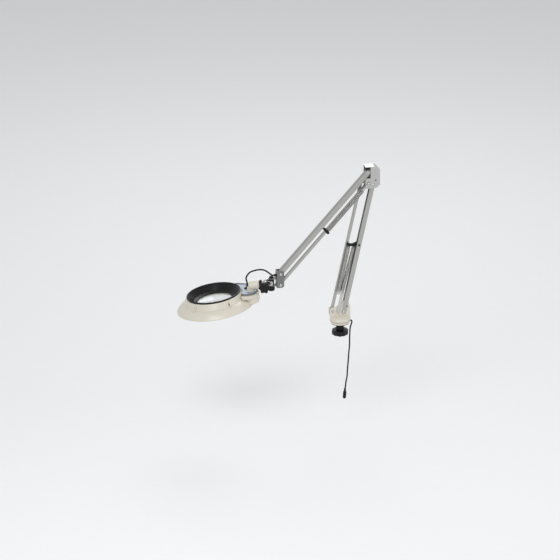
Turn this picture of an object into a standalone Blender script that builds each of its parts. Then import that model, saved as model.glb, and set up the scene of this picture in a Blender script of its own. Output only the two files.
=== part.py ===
"""Clamp-on magnifying lamp on a spring-balanced double parallelogram arm.

Lengths below are in millimetres and are turned into metres where objects are made.
The origin is the middle of the foot's underside, which rests on the desk top. +Z is up
along the swivel axis, the arm moves in the XZ plane and the head reaches towards -X.
"""

import math

import bmesh
import bpy
from mathutils import Matrix, Vector

MM = 0.001
GAP = 0.35
ARC_STEP = math.radians(30)

# Lower parallelogram
LEAN = math.radians(12.4)
LOWER_LENGTH = 409.8
MAIN_FOOT = Vector((10.0, 0.0, 36.3))
ROD_OFFSET = Vector((-34.0, 0.0, 4.8))
CHANNEL_DEPTH = 13.5
CHANNEL_WIDTH = 17.0
CHANNEL_WALL = 1.5
LOWER_ROD_Y = 5.0

# Upper parallelogram
DROP = math.radians(48.58)
UPPER_LENGTH = 401.3
UPPER_TOP = Vector((82.9, 0.0, 476.9))
UPPER_SPACING = 34.5
UPPER_Y = -7.5

# Wrist and head
WRIST_TURN = math.radians(-17.0)
WRIST_AXIS = Vector((-209.0, UPPER_Y, 0.0))
HEAD_TILT = math.radians(9.5)
TILT_PIVOT = Vector((-17.6, 0.0, 143.1))
NECK_REACH = 157.2
NECK_HEIGHT = 51.6

# Head
SKIRT_R = 115.0
DRUM_R = 88.5
HOOD_R = 80.6
HOOD_TOP = 44.5
LENS_R = 61.5
DECK_TOP = 32.0
ROCKER = (98.0, 28.0, 36.4)

# Foot and clamp
FOOT_R = 28.0
BELL_R = 31.0
STUD_R = 5.0
BORE_R = 5.4
DISC_R = 24.4

PIN_R = 1.6
PIN_HOLE_R = 2.0

for old in list(bpy.data.objects):
    bpy.data.objects.remove(old, do_unlink=True)

PART = bpy.data.collections.new("magnifying_lamp")
CUTTERS = bpy.data.collections.new("cutters")
bpy.context.scene.collection.children.link(PART)
bpy.context.scene.collection.children.link(CUTTERS)


def material(name, colour, roughness, metallic=0.0, transmission=0.0):
    mat = bpy.data.materials.new(name)
    mat.use_nodes = True
    shader = mat.node_tree.nodes["Principled BSDF"]
    shader.inputs["Base Color"].default_value = (*colour, 1.0)
    shader.inputs["Roughness"].default_value = roughness
    shader.inputs["Metallic"].default_value = metallic
    shader.inputs["Transmission Weight"].default_value = transmission
    return mat


ENAMEL = ((0.62, 0.58, 0.48), 0.38)
SATIN = ((0.55, 0.55, 0.53), 0.32, 1.0)
BLACK = ((0.015, 0.015, 0.016), 0.42)
STEEL = ((0.60, 0.60, 0.60), 0.25, 1.0)


# Frames ------------------------------------------------------------------------------

def side_frame(origin, along):
    """X along the given direction in the XZ plane, Z towards the front (-Y)."""
    x = Vector((along[0], 0.0, along[1])).normalized()
    z = Vector((0.0, -1.0, 0.0))
    y = z.cross(x)
    rotation = Matrix((x, y, z)).transposed().to_4x4()
    return Matrix.Translation(origin) @ rotation


T_LOW = (math.sin(LEAN), math.cos(LEAN))
T_UP = (-math.cos(DROP), -math.sin(DROP))
ROD_FOOT = MAIN_FOOT + ROD_OFFSET
MAIN_HEAD = MAIN_FOOT + Vector((T_LOW[0], 0.0, T_LOW[1])) * LOWER_LENGTH
ROD_HEAD = MAIN_HEAD + ROD_OFFSET
UPPER_LOW = UPPER_TOP - Vector((0.0, 0.0, UPPER_SPACING))
UPPER_END = UPPER_TOP + Vector((T_UP[0], 0.0, T_UP[1])) * UPPER_LENGTH
UPPER_END_LOW = UPPER_END - Vector((0.0, 0.0, UPPER_SPACING))

FRONT = side_frame(Vector((0.0, 0.0, 0.0)), (1.0, 0.0))
LOW = side_frame(MAIN_FOOT, T_LOW)
LOW_ROD = side_frame(ROD_FOOT, T_LOW)
UP = side_frame(UPPER_TOP, T_UP)
UP_ROD = side_frame(UPPER_LOW, T_UP)
WRIST = Matrix.Translation(WRIST_AXIS) @ Matrix.Rotation(WRIST_TURN, 4, "Z")
TILT = WRIST @ Matrix.Translation(TILT_PIVOT)
HEAD = (
    TILT
    @ Matrix.Rotation(-HEAD_TILT, 4, "Y")
    @ Matrix.Translation((-NECK_REACH, 0.0, -NECK_HEIGHT))
)


def shifted(frame, x=0.0, y=0.0, z=0.0):
    return frame @ Matrix.Translation((x, y, z))


def along_x(frame):
    """A turning frame whose Z axis is the given frame's X axis."""
    return frame @ Matrix.Rotation(math.radians(90), 4, "Y")


def along_front(frame):
    """A turning frame whose Z axis is the given frame's -Y axis."""
    return frame @ Matrix.Rotation(math.radians(90), 4, "X")


# Making objects ----------------------------------------------------------------------

def place(obj, frame):
    origin = frame.to_translation() * MM
    obj.matrix_world = Matrix.Translation(origin) @ frame.to_3x3().to_4x4()


def hold(obj, bodies, finish, name):
    """Gives the object its own material and parents it to its body's empty."""
    obj.data.materials.clear()
    obj.data.materials.append(material(name, *finish))
    bpy.context.view_layer.update()
    obj.parent = bodies
    obj.matrix_parent_inverse = bodies.matrix_world.inverted()


def body(name, at, parent=None):
    empty = bpy.data.objects.new(name, None)
    empty.empty_display_size = 0.01
    PART.objects.link(empty)
    empty.location = at * MM
    bpy.context.view_layer.update()
    if parent is not None:
        empty.parent = parent
        empty.matrix_parent_inverse = parent.matrix_world.inverted()
        bpy.context.view_layer.update()
    return empty


def link_object(name, data, frame, cutter=False):
    obj = bpy.data.objects.new(name, data)
    place(obj, frame)
    if cutter:
        CUTTERS.objects.link(obj)
        obj.hide_render = True
        obj.display_type = "WIRE"
    else:
        PART.objects.link(obj)
    return obj


def fillet(before, corner, after, radius):
    to_before = (before - corner).normalized()
    to_after = (after - corner).normalized()
    half = to_before.angle(to_after) / 2
    reach = radius / math.tan(half)
    centre = corner + (to_before + to_after).normalized() * (radius / math.sin(half))
    start = corner + to_before * reach - centre
    end = corner + to_after * reach - centre
    first = math.atan2(start.y, start.x)
    sweep = math.atan2(end.y, end.x) - first
    sweep = (sweep + math.pi) % (2 * math.pi) - math.pi
    count = max(1, math.ceil(abs(sweep) / ARC_STEP))
    angles = [first + sweep * i / count for i in range(count + 1)]
    return [centre + Vector((math.cos(a), math.sin(a))) * radius for a in angles]


def rounded(corners):
    """Turns (x, y) and (x, y, radius) corners into the points of a closed outline."""
    points = []
    for i, corner in enumerate(corners):
        here = Vector(corner[:2])
        if len(corner) == 2:
            points.append(here)
            continue
        before = Vector(corners[i - 1][:2])
        after = Vector(corners[(i + 1) % len(corners)][:2])
        points.extend(fillet(before, here, after, corner[2]))
    kept = []
    for point in points:
        if not kept or (point - kept[-1]).length > 0.1:
            kept.append(point)
    if (kept[0] - kept[-1]).length < 0.1:
        kept.pop()
    return kept


def circle(x, y, radius, count=10):
    """Corners turned a little with x, because a flat fill fails when two holes' corners line up."""
    phase = 0.2 + 0.001 * x
    steps = [phase + 2 * math.pi * i / count for i in range(count)]
    return [Vector((x + radius * math.cos(a), y + radius * math.sin(a))) for a in steps]


def bar(x0, x1, half):
    """A straight link's outline, round at both ends, around x0 and x1."""
    round_off = half * 0.999
    return rounded([
        (x0 - half, -half, round_off),
        (x1 + half, -half, round_off),
        (x1 + half, half, round_off),
        (x0 - half, half, round_off),
    ])


def plate(name, outline, thick, frame, holes=(), cutter=False):
    """A flat outline, centred on its frame's XY plane, made a mesh so it can be cut."""
    curve = bpy.data.curves.new(name + "_outline", "CURVE")
    curve.dimensions = "2D"
    curve.fill_mode = "BOTH"
    curve.extrude = thick / 2 * MM
    for loop in (outline, *holes):
        spline = curve.splines.new("POLY")
        spline.points.add(len(loop) - 1)
        spline.use_cyclic_u = True
        for point, spot in zip(spline.points, loop):
            point.co = (spot.x * MM, spot.y * MM, 0.0, 1.0)
    drawn = bpy.data.objects.new(name + "_outline", curve)
    bpy.context.scene.collection.objects.link(drawn)
    bpy.context.view_layer.update()
    mesh = bpy.data.meshes.new_from_object(drawn.evaluated_get(bpy.context.evaluated_depsgraph_get()))
    bpy.data.objects.remove(drawn, do_unlink=True)
    bpy.data.curves.remove(curve)
    mesh.name = name
    shape = bmesh.new()
    shape.from_mesh(mesh)
    bmesh.ops.remove_doubles(shape, verts=shape.verts, dist=0.000002)
    bmesh.ops.recalc_face_normals(shape, faces=shape.faces)
    shape.to_mesh(mesh)
    shape.free()
    return link_object(name, mesh, frame, cutter)


def turned(name, profile, frame, steps=24, loop=False, cutter=False):
    """A turned shape around the frame's Z axis; the profile runs down its outer side."""
    mesh = bpy.data.meshes.new(name)
    shape = bmesh.new()
    verts = [shape.verts.new((r * MM, 0.0, z * MM)) for r, z in profile]
    for first, second in zip(verts, verts[1:]):
        shape.edges.new((first, second))
    if loop:
        shape.edges.new((verts[-1], verts[0]))
    shape.to_mesh(mesh)
    shape.free()
    obj = link_object(name, mesh, frame, cutter)
    screw = obj.modifiers.new("Turn", "SCREW")
    screw.axis = "Z"
    screw.steps = steps
    screw.render_steps = steps
    screw.use_merge_vertices = True
    screw.merge_threshold = 0.00002
    screw.use_smooth_shade = False
    return obj


def box(name, low, high, frame, cutter=False):
    mesh = bpy.data.meshes.new(name)
    shape = bmesh.new()
    bmesh.ops.create_cube(shape, size=1.0)
    size = Vector(high) - Vector(low)
    middle = (Vector(high) + Vector(low)) / 2
    bmesh.ops.scale(shape, vec=size * MM, verts=shape.verts)
    bmesh.ops.translate(shape, vec=middle * MM, verts=shape.verts)
    shape.to_mesh(mesh)
    shape.free()
    return link_object(name, mesh, frame, cutter)


def rod_cutter(name, radius, z0, z1, frame, steps=10):
    profile = [(0.0, z1), (radius, z1), (radius, z0), (0.0, z0)]
    return turned(name, profile, frame, steps=steps, cutter=True)


def combine(obj, other, operation):
    cut = obj.modifiers.new(operation.title(), "BOOLEAN")
    cut.operation = operation
    cut.object = other
    cut.solver = "EXACT"


def bevel(obj, width, segments=2, angle=35):
    edge = obj.modifiers.new("Edges", "BEVEL")
    edge.width = width * MM
    edge.segments = segments
    edge.limit_method = "ANGLE"
    edge.angle_limit = math.radians(angle)


def wire(name, points, radius, sides=2):
    """A round wire along world points given in millimetres."""
    curve = bpy.data.curves.new(name, "CURVE")
    curve.dimensions = "3D"
    curve.bevel_depth = radius * MM
    curve.bevel_resolution = sides
    curve.use_fill_caps = True
    spline = curve.splines.new("POLY")
    spline.points.add(len(points) - 1)
    origin = points[0]
    for point, spot in zip(spline.points, points):
        point.co = (*((spot - origin) * MM), 1.0)
    return link_object(name, curve, Matrix.Translation(origin))


def smooth_path(knots, step):
    """Points about a step apart on a smooth curve through the knots."""
    knots = [Vector(k) for k in knots]
    ends = [2 * knots[0] - knots[1], *knots, 2 * knots[-1] - knots[-2]]
    path = [knots[0]]
    for i in range(1, len(ends) - 2):
        p0, p1, p2, p3 = ends[i - 1:i + 3]
        count = max(1, round((p2 - p1).length / step))
        for k in range(1, count + 1):
            t = k / count
            path.append(0.5 * (
                2 * p1
                + (p2 - p0) * t
                + (2 * p0 - 5 * p1 + 4 * p2 - p3) * t * t
                + (3 * p1 - p0 - 3 * p2 + p3) * t ** 3
            ))
    return path


def coil(name, frame, start, end, radius, wire_radius, turns, per_turn=8):
    """A coil spring between two points of the frame's XY plane."""
    start = Vector(start)
    end = Vector(end)
    axis = (end - start).normalized()
    side = axis.cross(Vector((0.0, 0.0, 1.0))).normalized()
    up = side.cross(axis)
    count = turns * per_turn
    points = []
    for i in range(count + 1):
        angle = 2 * math.pi * i / per_turn
        middle = start + (end - start) * i / count
        points.append(frame @ (middle + (side * math.cos(angle) + up * math.sin(angle)) * radius))
    return wire(name, points, wire_radius, sides=0)


def bolt(name, frame, front, back, head_r=4.6, shank_r=PIN_R, nut_r=4.2, head=2.4, nut=2.6):
    """A bolt along the frame's Z axis, with its head in front and its nut behind."""
    return turned(name, [
        (0.0, front + head),
        (head_r - 0.8, front + head),
        (head_r, front + head - 0.8),
        (head_r, front),
        (shank_r, front),
        (shank_r, back),
        (nut_r, back),
        (nut_r, back - nut),
        (0.0, back - nut),
    ], frame, steps=12)


# Foot, clamp and swivel housing --------------------------------------------------------

def build_foot(root):
    pad = turned("foot_pad", [(27.0, 1.5), (27.0, 0.0), (15.0, 0.0), (15.0, 1.5)],
                 Matrix(), steps=32, loop=True)
    hold(pad, root, BLACK, "foot_pad")

    foot = turned("base_foot", [
        (8.0, 19.0),
        (8.0, 8.6),
        (26.0, 8.6),
        (FOOT_R, 6.8),
        (FOOT_R, 1.8),
        (BORE_R, 1.8),
        (BORE_R, 19.0),
    ], Matrix(), steps=32, loop=True)
    hold(foot, root, ENAMEL, "base_foot")

    stud = turned("mount_stud", [
        (0.0, 18.6),
        (STUD_R, 18.6),
        (STUD_R, -43.0),
        (STUD_R - 0.9, -44.0),
        (0.0, -44.0),
    ], Matrix(), steps=24)
    hold(stud, root, STEEL, "mount_stud")


def build_clamp(washer_body, nut_body):
    washer = turned("clamp_washer", [
        (12.0, -2.0),
        (13.5, -3.2),
        (13.5, -6.2),
        (11.0, -7.7),
        (BORE_R, -7.7),
        (BORE_R, -2.0),
    ], Matrix(), steps=32, loop=True)
    hold(washer, washer_body, BLACK, "clamp_washer")

    lobes = 10
    count = 40
    outline = []
    for i in range(count):
        angle = 2 * math.pi * i / count
        radius = DISC_R - 0.7 * (1 - math.cos(lobes * angle))
        outline.append(Vector((radius * math.cos(angle), radius * math.sin(angle))))
    disc = plate("hand_nut", outline, 14.0, Matrix.Translation((0.0, 0.0, -28.0)))
    bevel(disc, 1.6, segments=1)
    hub = turned("hand_nut_hub", [(0.0, -8.0), (10.5, -8.0), (11.5, -9.0), (11.5, -25.0), (0.0, -25.0)],
                 Matrix(), steps=32, cutter=True)
    bore = rod_cutter("hand_nut_bore", BORE_R, -40.0, 0.0, Matrix(), steps=24)
    combine(disc, hub, "UNION")
    combine(disc, bore, "DIFFERENCE")
    hold(disc, nut_body, BLACK, "hand_nut")


def build_swivel(swivel):
    bell = turned("swivel_housing", [
        (0.0, 24.0),
        (10.0, 24.0),
        (19.0, 22.8),
        (26.0, 19.5),
        (30.0, 15.0),
        (BELL_R, 12.0),
        (BELL_R, 10.0),
        (30.2, 9.0),
        (8.4, 9.0),
        (8.4, 18.0),
        (0.0, 18.0),
    ], Matrix(), steps=32)
    tongue = plate("tongue", rounded([
        (30.0, 12.5),
        (30.0, 50.0, 6.0),
        (25.0, 65.0, 5.0),
        (17.0, 70.0, 4.0),
        (8.0, 67.0, 5.0),
        (-2.0, 55.0, 6.0),
        (-12.0, 51.0, 3.0),
        (-30.5, 50.5, 9.0),
        (-30.5, 12.5),
    ]), 13.4, FRONT, cutter=True)
    ear = plate("rod_ear", rounded([
        (-16.0, 14.0),
        (-16.0, 50.0, 7.5),
        (-32.0, 50.0, 7.5),
        (-32.0, 30.0, 6.0),
        (-26.5, 14.0),
    ]), 3.2, shifted(FRONT, z=-10.4), cutter=True)
    pocket = box("rod_pocket", (-45.0, 1.2, 26.0), (-12.0, 8.6, 90.0), Matrix(), cutter=True)
    spindle_bore = rod_cutter("spindle_bore", 8.4, 5.0, 19.4, Matrix(), steps=32)
    main_hole = rod_cutter("main_hole", PIN_HOLE_R, -20.0, 20.0, side_frame(MAIN_FOOT, (1.0, 0.0)))
    rod_hole = rod_cutter("rod_hole", PIN_HOLE_R, -20.0, 20.0, side_frame(ROD_FOOT, (1.0, 0.0)))
    combine(bell, tongue, "UNION")
    combine(bell, ear, "UNION")
    for cutter in (pocket, spindle_bore, main_hole, rod_hole):
        combine(bell, cutter, "DIFFERENCE")
    hold(bell, swivel, ENAMEL, "swivel_housing")

    main_bolt = bolt("lower_pivot_bolt", side_frame(MAIN_FOOT, (1.0, 0.0)), 8.9, -8.9)
    hold(main_bolt, swivel, STEEL, "lower_pivot_bolt")
    rod_bolt = bolt("rod_pivot_bolt", side_frame(ROD_FOOT, (1.0, 0.0)), 7.05, -12.35)
    hold(rod_bolt, swivel, STEEL, "rod_pivot_bolt")


# Arms --------------------------------------------------------------------------------

def channel(name, frame, length, middle_z, web_from, web_to):
    """A U-channel along the frame's X axis, open towards +Y, with a web on its -Y side."""
    half = CHANNEL_DEPTH / 2
    inner = -half + CHANNEL_WALL
    pins = [circle(0.0, 0.0, PIN_HOLE_R), circle(length, 0.0, PIN_HOLE_R)]
    beam = plate(name, bar(0.0, length, half), CHANNEL_WIDTH, shifted(frame, z=middle_z), holes=pins)
    hollow = plate(name + "_hollow", [
        Vector((-20.0, -half - 5.0)),
        Vector((web_from, -half - 5.0)),
        Vector((web_from, inner)),
        Vector((web_to, inner)),
        Vector((web_to, -half - 5.0)),
        Vector((length + 20.0, -half - 5.0)),
        Vector((length + 20.0, half + 5.0)),
        Vector((-20.0, half + 5.0)),
    ], CHANNEL_WIDTH - 2 * CHANNEL_WALL, shifted(frame, z=middle_z), cutter=True)
    combine(beam, hollow, "DIFFERENCE")
    return beam


YOKE_X = 214.0
LINK_Y = 18.1
LINK_TOP = 62.0
LOWER_SPRING_Z = 4.6
LOWER_SPRINGS = (
    ("lower_spring_front", (65.0, 29.0), (204.5, 30.0)),
    ("lower_spring_back", (65.0, 19.0), (204.5, 14.5)),
)
SPRING_R = 5.0
SPRING_WIRE = 0.75


def build_lower_arm(arm, rod_body, link_body):
    main = channel("lower_main", LOW, LOWER_LENGTH, 0.0, 62.0, LOWER_LENGTH - 1.0)
    yoke_hole = rod_cutter("yoke_hole", PIN_HOLE_R, -20.0, 20.0, shifted(LOW, x=YOKE_X))
    combine(main, yoke_hole, "DIFFERENCE")
    hold(main, arm, SATIN, "lower_main")

    yoke = plate("spring_yoke", rounded([
        (208.5, -4.7, 1.5),
        (221.0, -4.7, 1.5),
        (221.0, 10.0, 3.0),
        (214.0, 21.0, 3.0),
        (214.0, 36.0, 2.0),
        (206.5, 36.0, 2.0),
        (206.5, 9.0, 2.0),
        (208.5, 5.0, 1.0),
    ]), 7.0, shifted(LOW, z=2.5), holes=[circle(YOKE_X, 0.0, PIN_HOLE_R)])
    hold(yoke, arm, BLACK, "spring_yoke")
    yoke_pin = bolt("yoke_pin", shifted(LOW, x=YOKE_X), 8.9, -8.9, head_r=3.4, nut_r=3.2, head=1.8, nut=1.8)
    hold(yoke_pin, arm, STEEL, "yoke_pin")

    for name, start, end in LOWER_SPRINGS:
        spring = coil(name, LOW, (*start, LOWER_SPRING_Z), (*end, LOWER_SPRING_Z),
                      SPRING_R, SPRING_WIRE, 9)
        hold(spring, arm, STEEL, name)

    rod = plate("lower_rod", bar(0.0, LOWER_LENGTH, 4.2), 7.0, shifted(LOW_ROD, z=-LOWER_ROD_Y),
                holes=[circle(0.0, 0.0, PIN_HOLE_R), circle(LOWER_LENGTH, 0.0, PIN_HOLE_R)])
    hold(rod, rod_body, SATIN, "lower_rod")

    half = 4.5
    link = plate("spring_link", rounded([
        (-6.0, LINK_Y - half, half * 0.99),
        (53.0, LINK_Y - half, 2.0),
        (53.0, 10.5, 1.5),
        (LINK_TOP, 10.5, 1.5),
        (LINK_TOP, 35.0, 1.5),
        (53.0, 35.0, 1.5),
        (53.0, LINK_Y + half, 3.0),
        (-6.0, LINK_Y + half, half * 0.99),
    ]), 2.2, shifted(LOW, z=8.1))
    hold(link, link_body, STEEL, "spring_link")


ELBOW_FRONT = 16.4
ELBOW_BACK = -8.9
PLATE = 2.2


def build_elbow(elbow):
    depth = ELBOW_FRONT - ELBOW_BACK + 2 * PLATE
    middle = (ELBOW_FRONT + ELBOW_BACK) / 2
    shell = plate("elbow_bracket", rounded([
        (73.0, 427.0, 5.0),
        (107.0, 427.0, 8.0),
        (117.0, 439.0, 6.0),
        (117.0, 495.0, 22.0),
        (73.0, 495.0, 5.0),
    ]), depth, shifted(FRONT, z=middle))
    hollow = plate("elbow_hollow", rounded([
        (50.0, 415.0),
        (130.0, 415.0),
        (130.0, 434.0),
        (114.8, 434.0),
        (114.8, 492.8, 20.0),
        (50.0, 492.8),
    ]), ELBOW_FRONT - ELBOW_BACK, shifted(FRONT, z=middle), cutter=True)
    ear = plate("elbow_ear", rounded([
        (ROD_HEAD.x - 7.5, ROD_HEAD.z - 7.5, 7.4),
        (90.0, ROD_HEAD.z - 7.5),
        (90.0, ROD_HEAD.z + 12.0),
        (78.0, ROD_HEAD.z + 12.0, 5.0),
        (ROD_HEAD.x - 7.5, ROD_HEAD.z + 7.5, 7.0),
    ]), PLATE, shifted(FRONT, z=ELBOW_BACK - PLATE / 2), cutter=True)
    combine(shell, hollow, "DIFFERENCE")
    notch = plate("elbow_notch", rounded([
        (60.0, 459.0),
        (88.4, 459.0, 3.0),
        (88.4, 505.0),
        (60.0, 505.0),
    ]), 4.2, shifted(FRONT, z=18.4), cutter=True)
    combine(shell, ear, "UNION")
    combine(shell, notch, "DIFFERENCE")
    for name, spot in (("a", UPPER_TOP), ("b", UPPER_LOW), ("c", MAIN_HEAD), ("d", ROD_HEAD)):
        hole = rod_cutter("elbow_hole_" + name, PIN_HOLE_R, -30.0, 30.0, side_frame(spot, (1.0, 0.0)))
        combine(shell, hole, "DIFFERENCE")
    hold(shell, elbow, SATIN, "elbow_bracket")

    front = ELBOW_FRONT + PLATE + GAP
    back = ELBOW_BACK - PLATE - GAP
    upper_bolt = bolt("elbow_bolt_top", side_frame(UPPER_TOP, (1.0, 0.0)), 16.35, back)
    hold(upper_bolt, elbow, STEEL, "elbow_bolt_top")
    rod_bolt = bolt("elbow_bolt_rod", side_frame(UPPER_LOW, (1.0, 0.0)), front + 2.6, back)
    hold(rod_bolt, elbow, STEEL, "elbow_bolt_rod")
    main_bolt = bolt("elbow_bolt_main", side_frame(MAIN_HEAD, (1.0, 0.0)), front, back)
    hold(main_bolt, elbow, STEEL, "elbow_bolt_main")
    rod_pin = turned("elbow_rod_pin", [
        (0.0, -1.6),
        (PIN_R, -1.6),
        (PIN_R, back),
        (4.2, back),
        (4.2, back - 2.4),
        (0.0, back - 2.4),
    ], side_frame(ROD_HEAD, (1.0, 0.0)), steps=12)
    hold(rod_pin, elbow, STEEL, "elbow_rod_pin")
    cap = box("elbow_cap", (73.4, -ELBOW_FRONT + GAP, 486.6), (80.5, -ELBOW_BACK - GAP, 492.4), Matrix())
    bevel(cap, 0.8)
    hold(cap, elbow, BLACK, "elbow_cap")


COLLAR_X = 189.0
UPPER_SPRING_Z = 18.7


def build_upper_arm(arm, rod_body, collar_body):
    main = channel("upper_main", UP, UPPER_LENGTH, -UPPER_Y, 2.0, UPPER_LENGTH - 2.0)
    hold(main, arm, SATIN, "upper_main")

    rod = plate("upper_rod", bar(0.0, UPPER_LENGTH, 4.0), 10.0, shifted(UP_ROD, z=-UPPER_Y),
                holes=[circle(0.0, 0.0, PIN_HOLE_R), circle(UPPER_LENGTH, 0.0, PIN_HOLE_R)])
    hold(rod, rod_body, SATIN, "upper_rod")

    spring = coil("upper_spring", UP_ROD, (28.0, 0.0, UPPER_SPRING_Z), (184.0, 0.0, UPPER_SPRING_Z),
                  SPRING_R, SPRING_WIRE, 10)
    hold(spring, rod_body, STEEL, "upper_spring")

    collar = plate("spring_collar", rounded([
        (COLLAR_X - 3.0, -6.0, 1.5),
        (COLLAR_X + 5.0, -6.0, 1.5),
        (COLLAR_X + 5.0, 6.5, 2.5),
        (COLLAR_X - 3.0, 6.5, 2.5),
    ]), 21.8, shifted(UP_ROD, z=12.9))
    tongue = box("collar_tongue", (COLLAR_X - 2.0, -19.6, 3.0), (COLLAR_X + 4.0, -5.0, 12.0),
                 UP_ROD, cutter=True)
    slot = box("collar_slot", (COLLAR_X - 20.0, -4.4, 2.1), (COLLAR_X + 20.0, 4.4, 12.85),
               UP_ROD, cutter=True)
    combine(collar, tongue, "UNION")
    combine(collar, slot, "DIFFERENCE")
    hold(collar, collar_body, BLACK, "spring_collar")


# End bracket and wrist -----------------------------------------------------------------

SWIVEL_HOLE_R = 3.4


def build_end_bracket(bracket):
    outer = plate("end_bracket", rounded([
        (-194.0, 133.0, 1.0),
        (-172.0, 133.0, 8.0),
        (-172.0, 186.0, 8.0),
        (-194.0, 186.0, 1.0),
    ]), 22.2, shifted(FRONT, z=-UPPER_Y))
    hollow = box("bracket_hollow", (-191.5, -16.4, 120.0), (-160.0, 1.4, 200.0), Matrix(), cutter=True)
    lug_outline = rounded([
        (-217.5, UPPER_Y - 8.5, 8.4),
        (-192.6, UPPER_Y - 8.5),
        (-192.6, UPPER_Y + 8.5),
        (-217.5, UPPER_Y + 8.5, 8.4),
    ])
    top_lug = plate("top_lug", lug_outline, 2.5, Matrix.Translation((0.0, 0.0, 161.75)), cutter=True)
    low_lug = plate("low_lug", lug_outline, 3.0, Matrix.Translation((0.0, 0.0, 140.0)), cutter=True)
    combine(outer, hollow, "DIFFERENCE")
    combine(outer, top_lug, "UNION")
    combine(outer, low_lug, "UNION")
    swivel_hole = rod_cutter("swivel_hole", SWIVEL_HOLE_R, 120.0, 190.0, WRIST, steps=20)
    combine(outer, swivel_hole, "DIFFERENCE")
    for name, spot in (("a", UPPER_END), ("b", UPPER_END_LOW)):
        hole = rod_cutter("bracket_hole_" + name, PIN_HOLE_R, -30.0, 30.0, side_frame(spot, (1.0, 0.0)))
        combine(outer, hole, "DIFFERENCE")
    hold(outer, bracket, ((0.30, 0.30, 0.29), 0.45), "end_bracket")

    top_bolt = bolt("bracket_bolt_top", side_frame(UPPER_END, (1.0, 0.0)), 18.95, -3.95)
    hold(top_bolt, bracket, STEEL, "bracket_bolt_top")
    low_bolt = bolt("bracket_bolt_low", side_frame(UPPER_END_LOW, (1.0, 0.0)), 18.95, -3.95)
    hold(low_bolt, bracket, STEEL, "bracket_bolt_low")
    gland_frame = along_x(Matrix.Translation((0.0, UPPER_Y, 171.0)))
    gland = turned("bracket_gland", [
        (0.0, -194.35),
        (4.2, -194.35),
        (4.2, -197.0),
        (3.3, -202.0),
        (0.0, -202.0),
    ], gland_frame, steps=20)
    hold(gland, bracket, BLACK, "bracket_gland")


def build_wrist(swivel, knob_body, tilt_knob_body):
    barrel = turned("swivel_barrel", [
        (0.0, 168.0),
        (5.2, 168.0),
        (6.0, 167.0),
        (6.0, 163.4),
        (3.0, 163.4),
        (3.0, 160.0),
        (8.5, 160.0),
        (8.5, 142.0),
        (3.0, 142.0),
        (3.0, 137.6),
        (0.0, 137.6),
    ], WRIST, steps=24)
    hold(barrel, swivel, BLACK, "swivel_barrel")

    knob = turned("swivel_knob", [
        (0.0, 137.2),
        (9.8, 137.2),
        (10.8, 136.0),
        (10.8, 126.0),
        (9.4, 124.0),
        (0.0, 124.0),
    ], WRIST, steps=24)
    hold(knob, knob_body, BLACK, "swivel_knob")

    tilt_front = along_front(TILT)
    barrel_x = -TILT_PIVOT.x
    for name, side in (("fork_plate_front", 10.2), ("fork_plate_back", -10.2)):
        arm = plate(name, rounded([
            (-7.5, -7.5, 7.0),
            (5.0, -7.5, 4.0),
            (10.0, -0.6, 2.0),
            (barrel_x + 6.0, -0.6, 5.0),
            (barrel_x + 6.0, 13.5, 5.0),
            (barrel_x - 6.0, 13.5, 4.0),
            (-7.5, 7.5, 7.0),
        ]), 2.0, shifted(tilt_front, z=side), holes=[circle(0.0, 0.0, SWIVEL_HOLE_R)])
        hold(arm, swivel, STEEL, name)

    shaft = turned("tilt_bolt", [
        (0.0, 23.6),
        (5.5, 23.6),
        (5.5, 11.55),
        (3.0, 11.55),
        (3.0, -11.55),
        (6.0, -11.55),
        (6.0, -15.5),
        (0.0, -15.5),
    ], tilt_front, steps=20)
    hold(shaft, swivel, STEEL, "tilt_bolt")

    lobes = 6
    count = 36
    outline = []
    for i in range(count):
        angle = 2 * math.pi * i / count
        radius = 15.4 + 1.6 * math.cos(lobes * angle)
        outline.append(Vector((radius * math.cos(angle), radius * math.sin(angle))))
    star = plate("tilt_knob", outline, 14.0, shifted(tilt_front, z=31.0))
    bevel(star, 1.8, segments=1)
    hold(star, tilt_knob_body, BLACK, "tilt_knob")


def build_tilt(tilt, collar_body):
    tilt_front = along_front(TILT)
    block = turned("tilt_block", [(0.0, 8.8), (8.5, 8.8), (8.5, -8.8), (0.0, -8.8)], tilt_front, steps=24)
    stem_frame = along_x(shifted(HEAD, z=NECK_HEIGHT))
    stem = turned("tilt_stem", [
        (0.0, NECK_REACH - 3.0),
        (6.0, NECK_REACH - 3.0),
        (6.0, 141.2),
        (0.0, 141.2),
    ], stem_frame, steps=20, cutter=True)
    hole = rod_cutter("tilt_hole", SWIVEL_HOLE_R, -20.0, 20.0, tilt_front, steps=20)
    combine(block, stem, "UNION")
    combine(block, hole, "DIFFERENCE")
    hold(block, tilt, SATIN, "tilt_block")

    ring = turned("roll_collar", [
        (12.8, 147.6),
        (14.0, 146.6),
        (14.0, 141.6),
        (12.8, 140.6),
        (6.4, 140.6),
        (6.4, 147.6),
    ], stem_frame, steps=32, loop=True)
    hold(ring, collar_body, BLACK, "roll_collar")


# Head --------------------------------------------------------------------------------

def arc(radius, first, last, count):
    angles = [math.radians(first + (last - first) * i / count) for i in range(count + 1)]
    return [(radius * math.cos(a), radius * math.sin(a)) for a in angles]


PLATE_EDGE = [(86.5, -17.0, 3.0), (100.0, -25.0, 10.0), (120.0, -25.0, 12.0), (130.0, 0.0, 14.0),
              (112.0, 40.0, 24.0), (90.0, 62.0, 14.0), (58.0, 76.0, 3.0)]
DECK_EDGE = [(88.0, -38.0, 3.0), (110.0, -38.0, 10.0), (134.0, -22.0, 12.0), (135.0, 6.0, 16.0),
             (118.0, 44.0, 24.0), (94.0, 68.0, 14.0), (59.0, 83.0, 4.0)]


def edge_points(corners, inside):
    """The outer edge alone, from its -Y end to its +Y end, of an outline closed by the arc."""
    return [Vector((p.x, p.y)) for p in rounded([inside[-1], *corners, inside[0]])[1:-1]]


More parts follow.
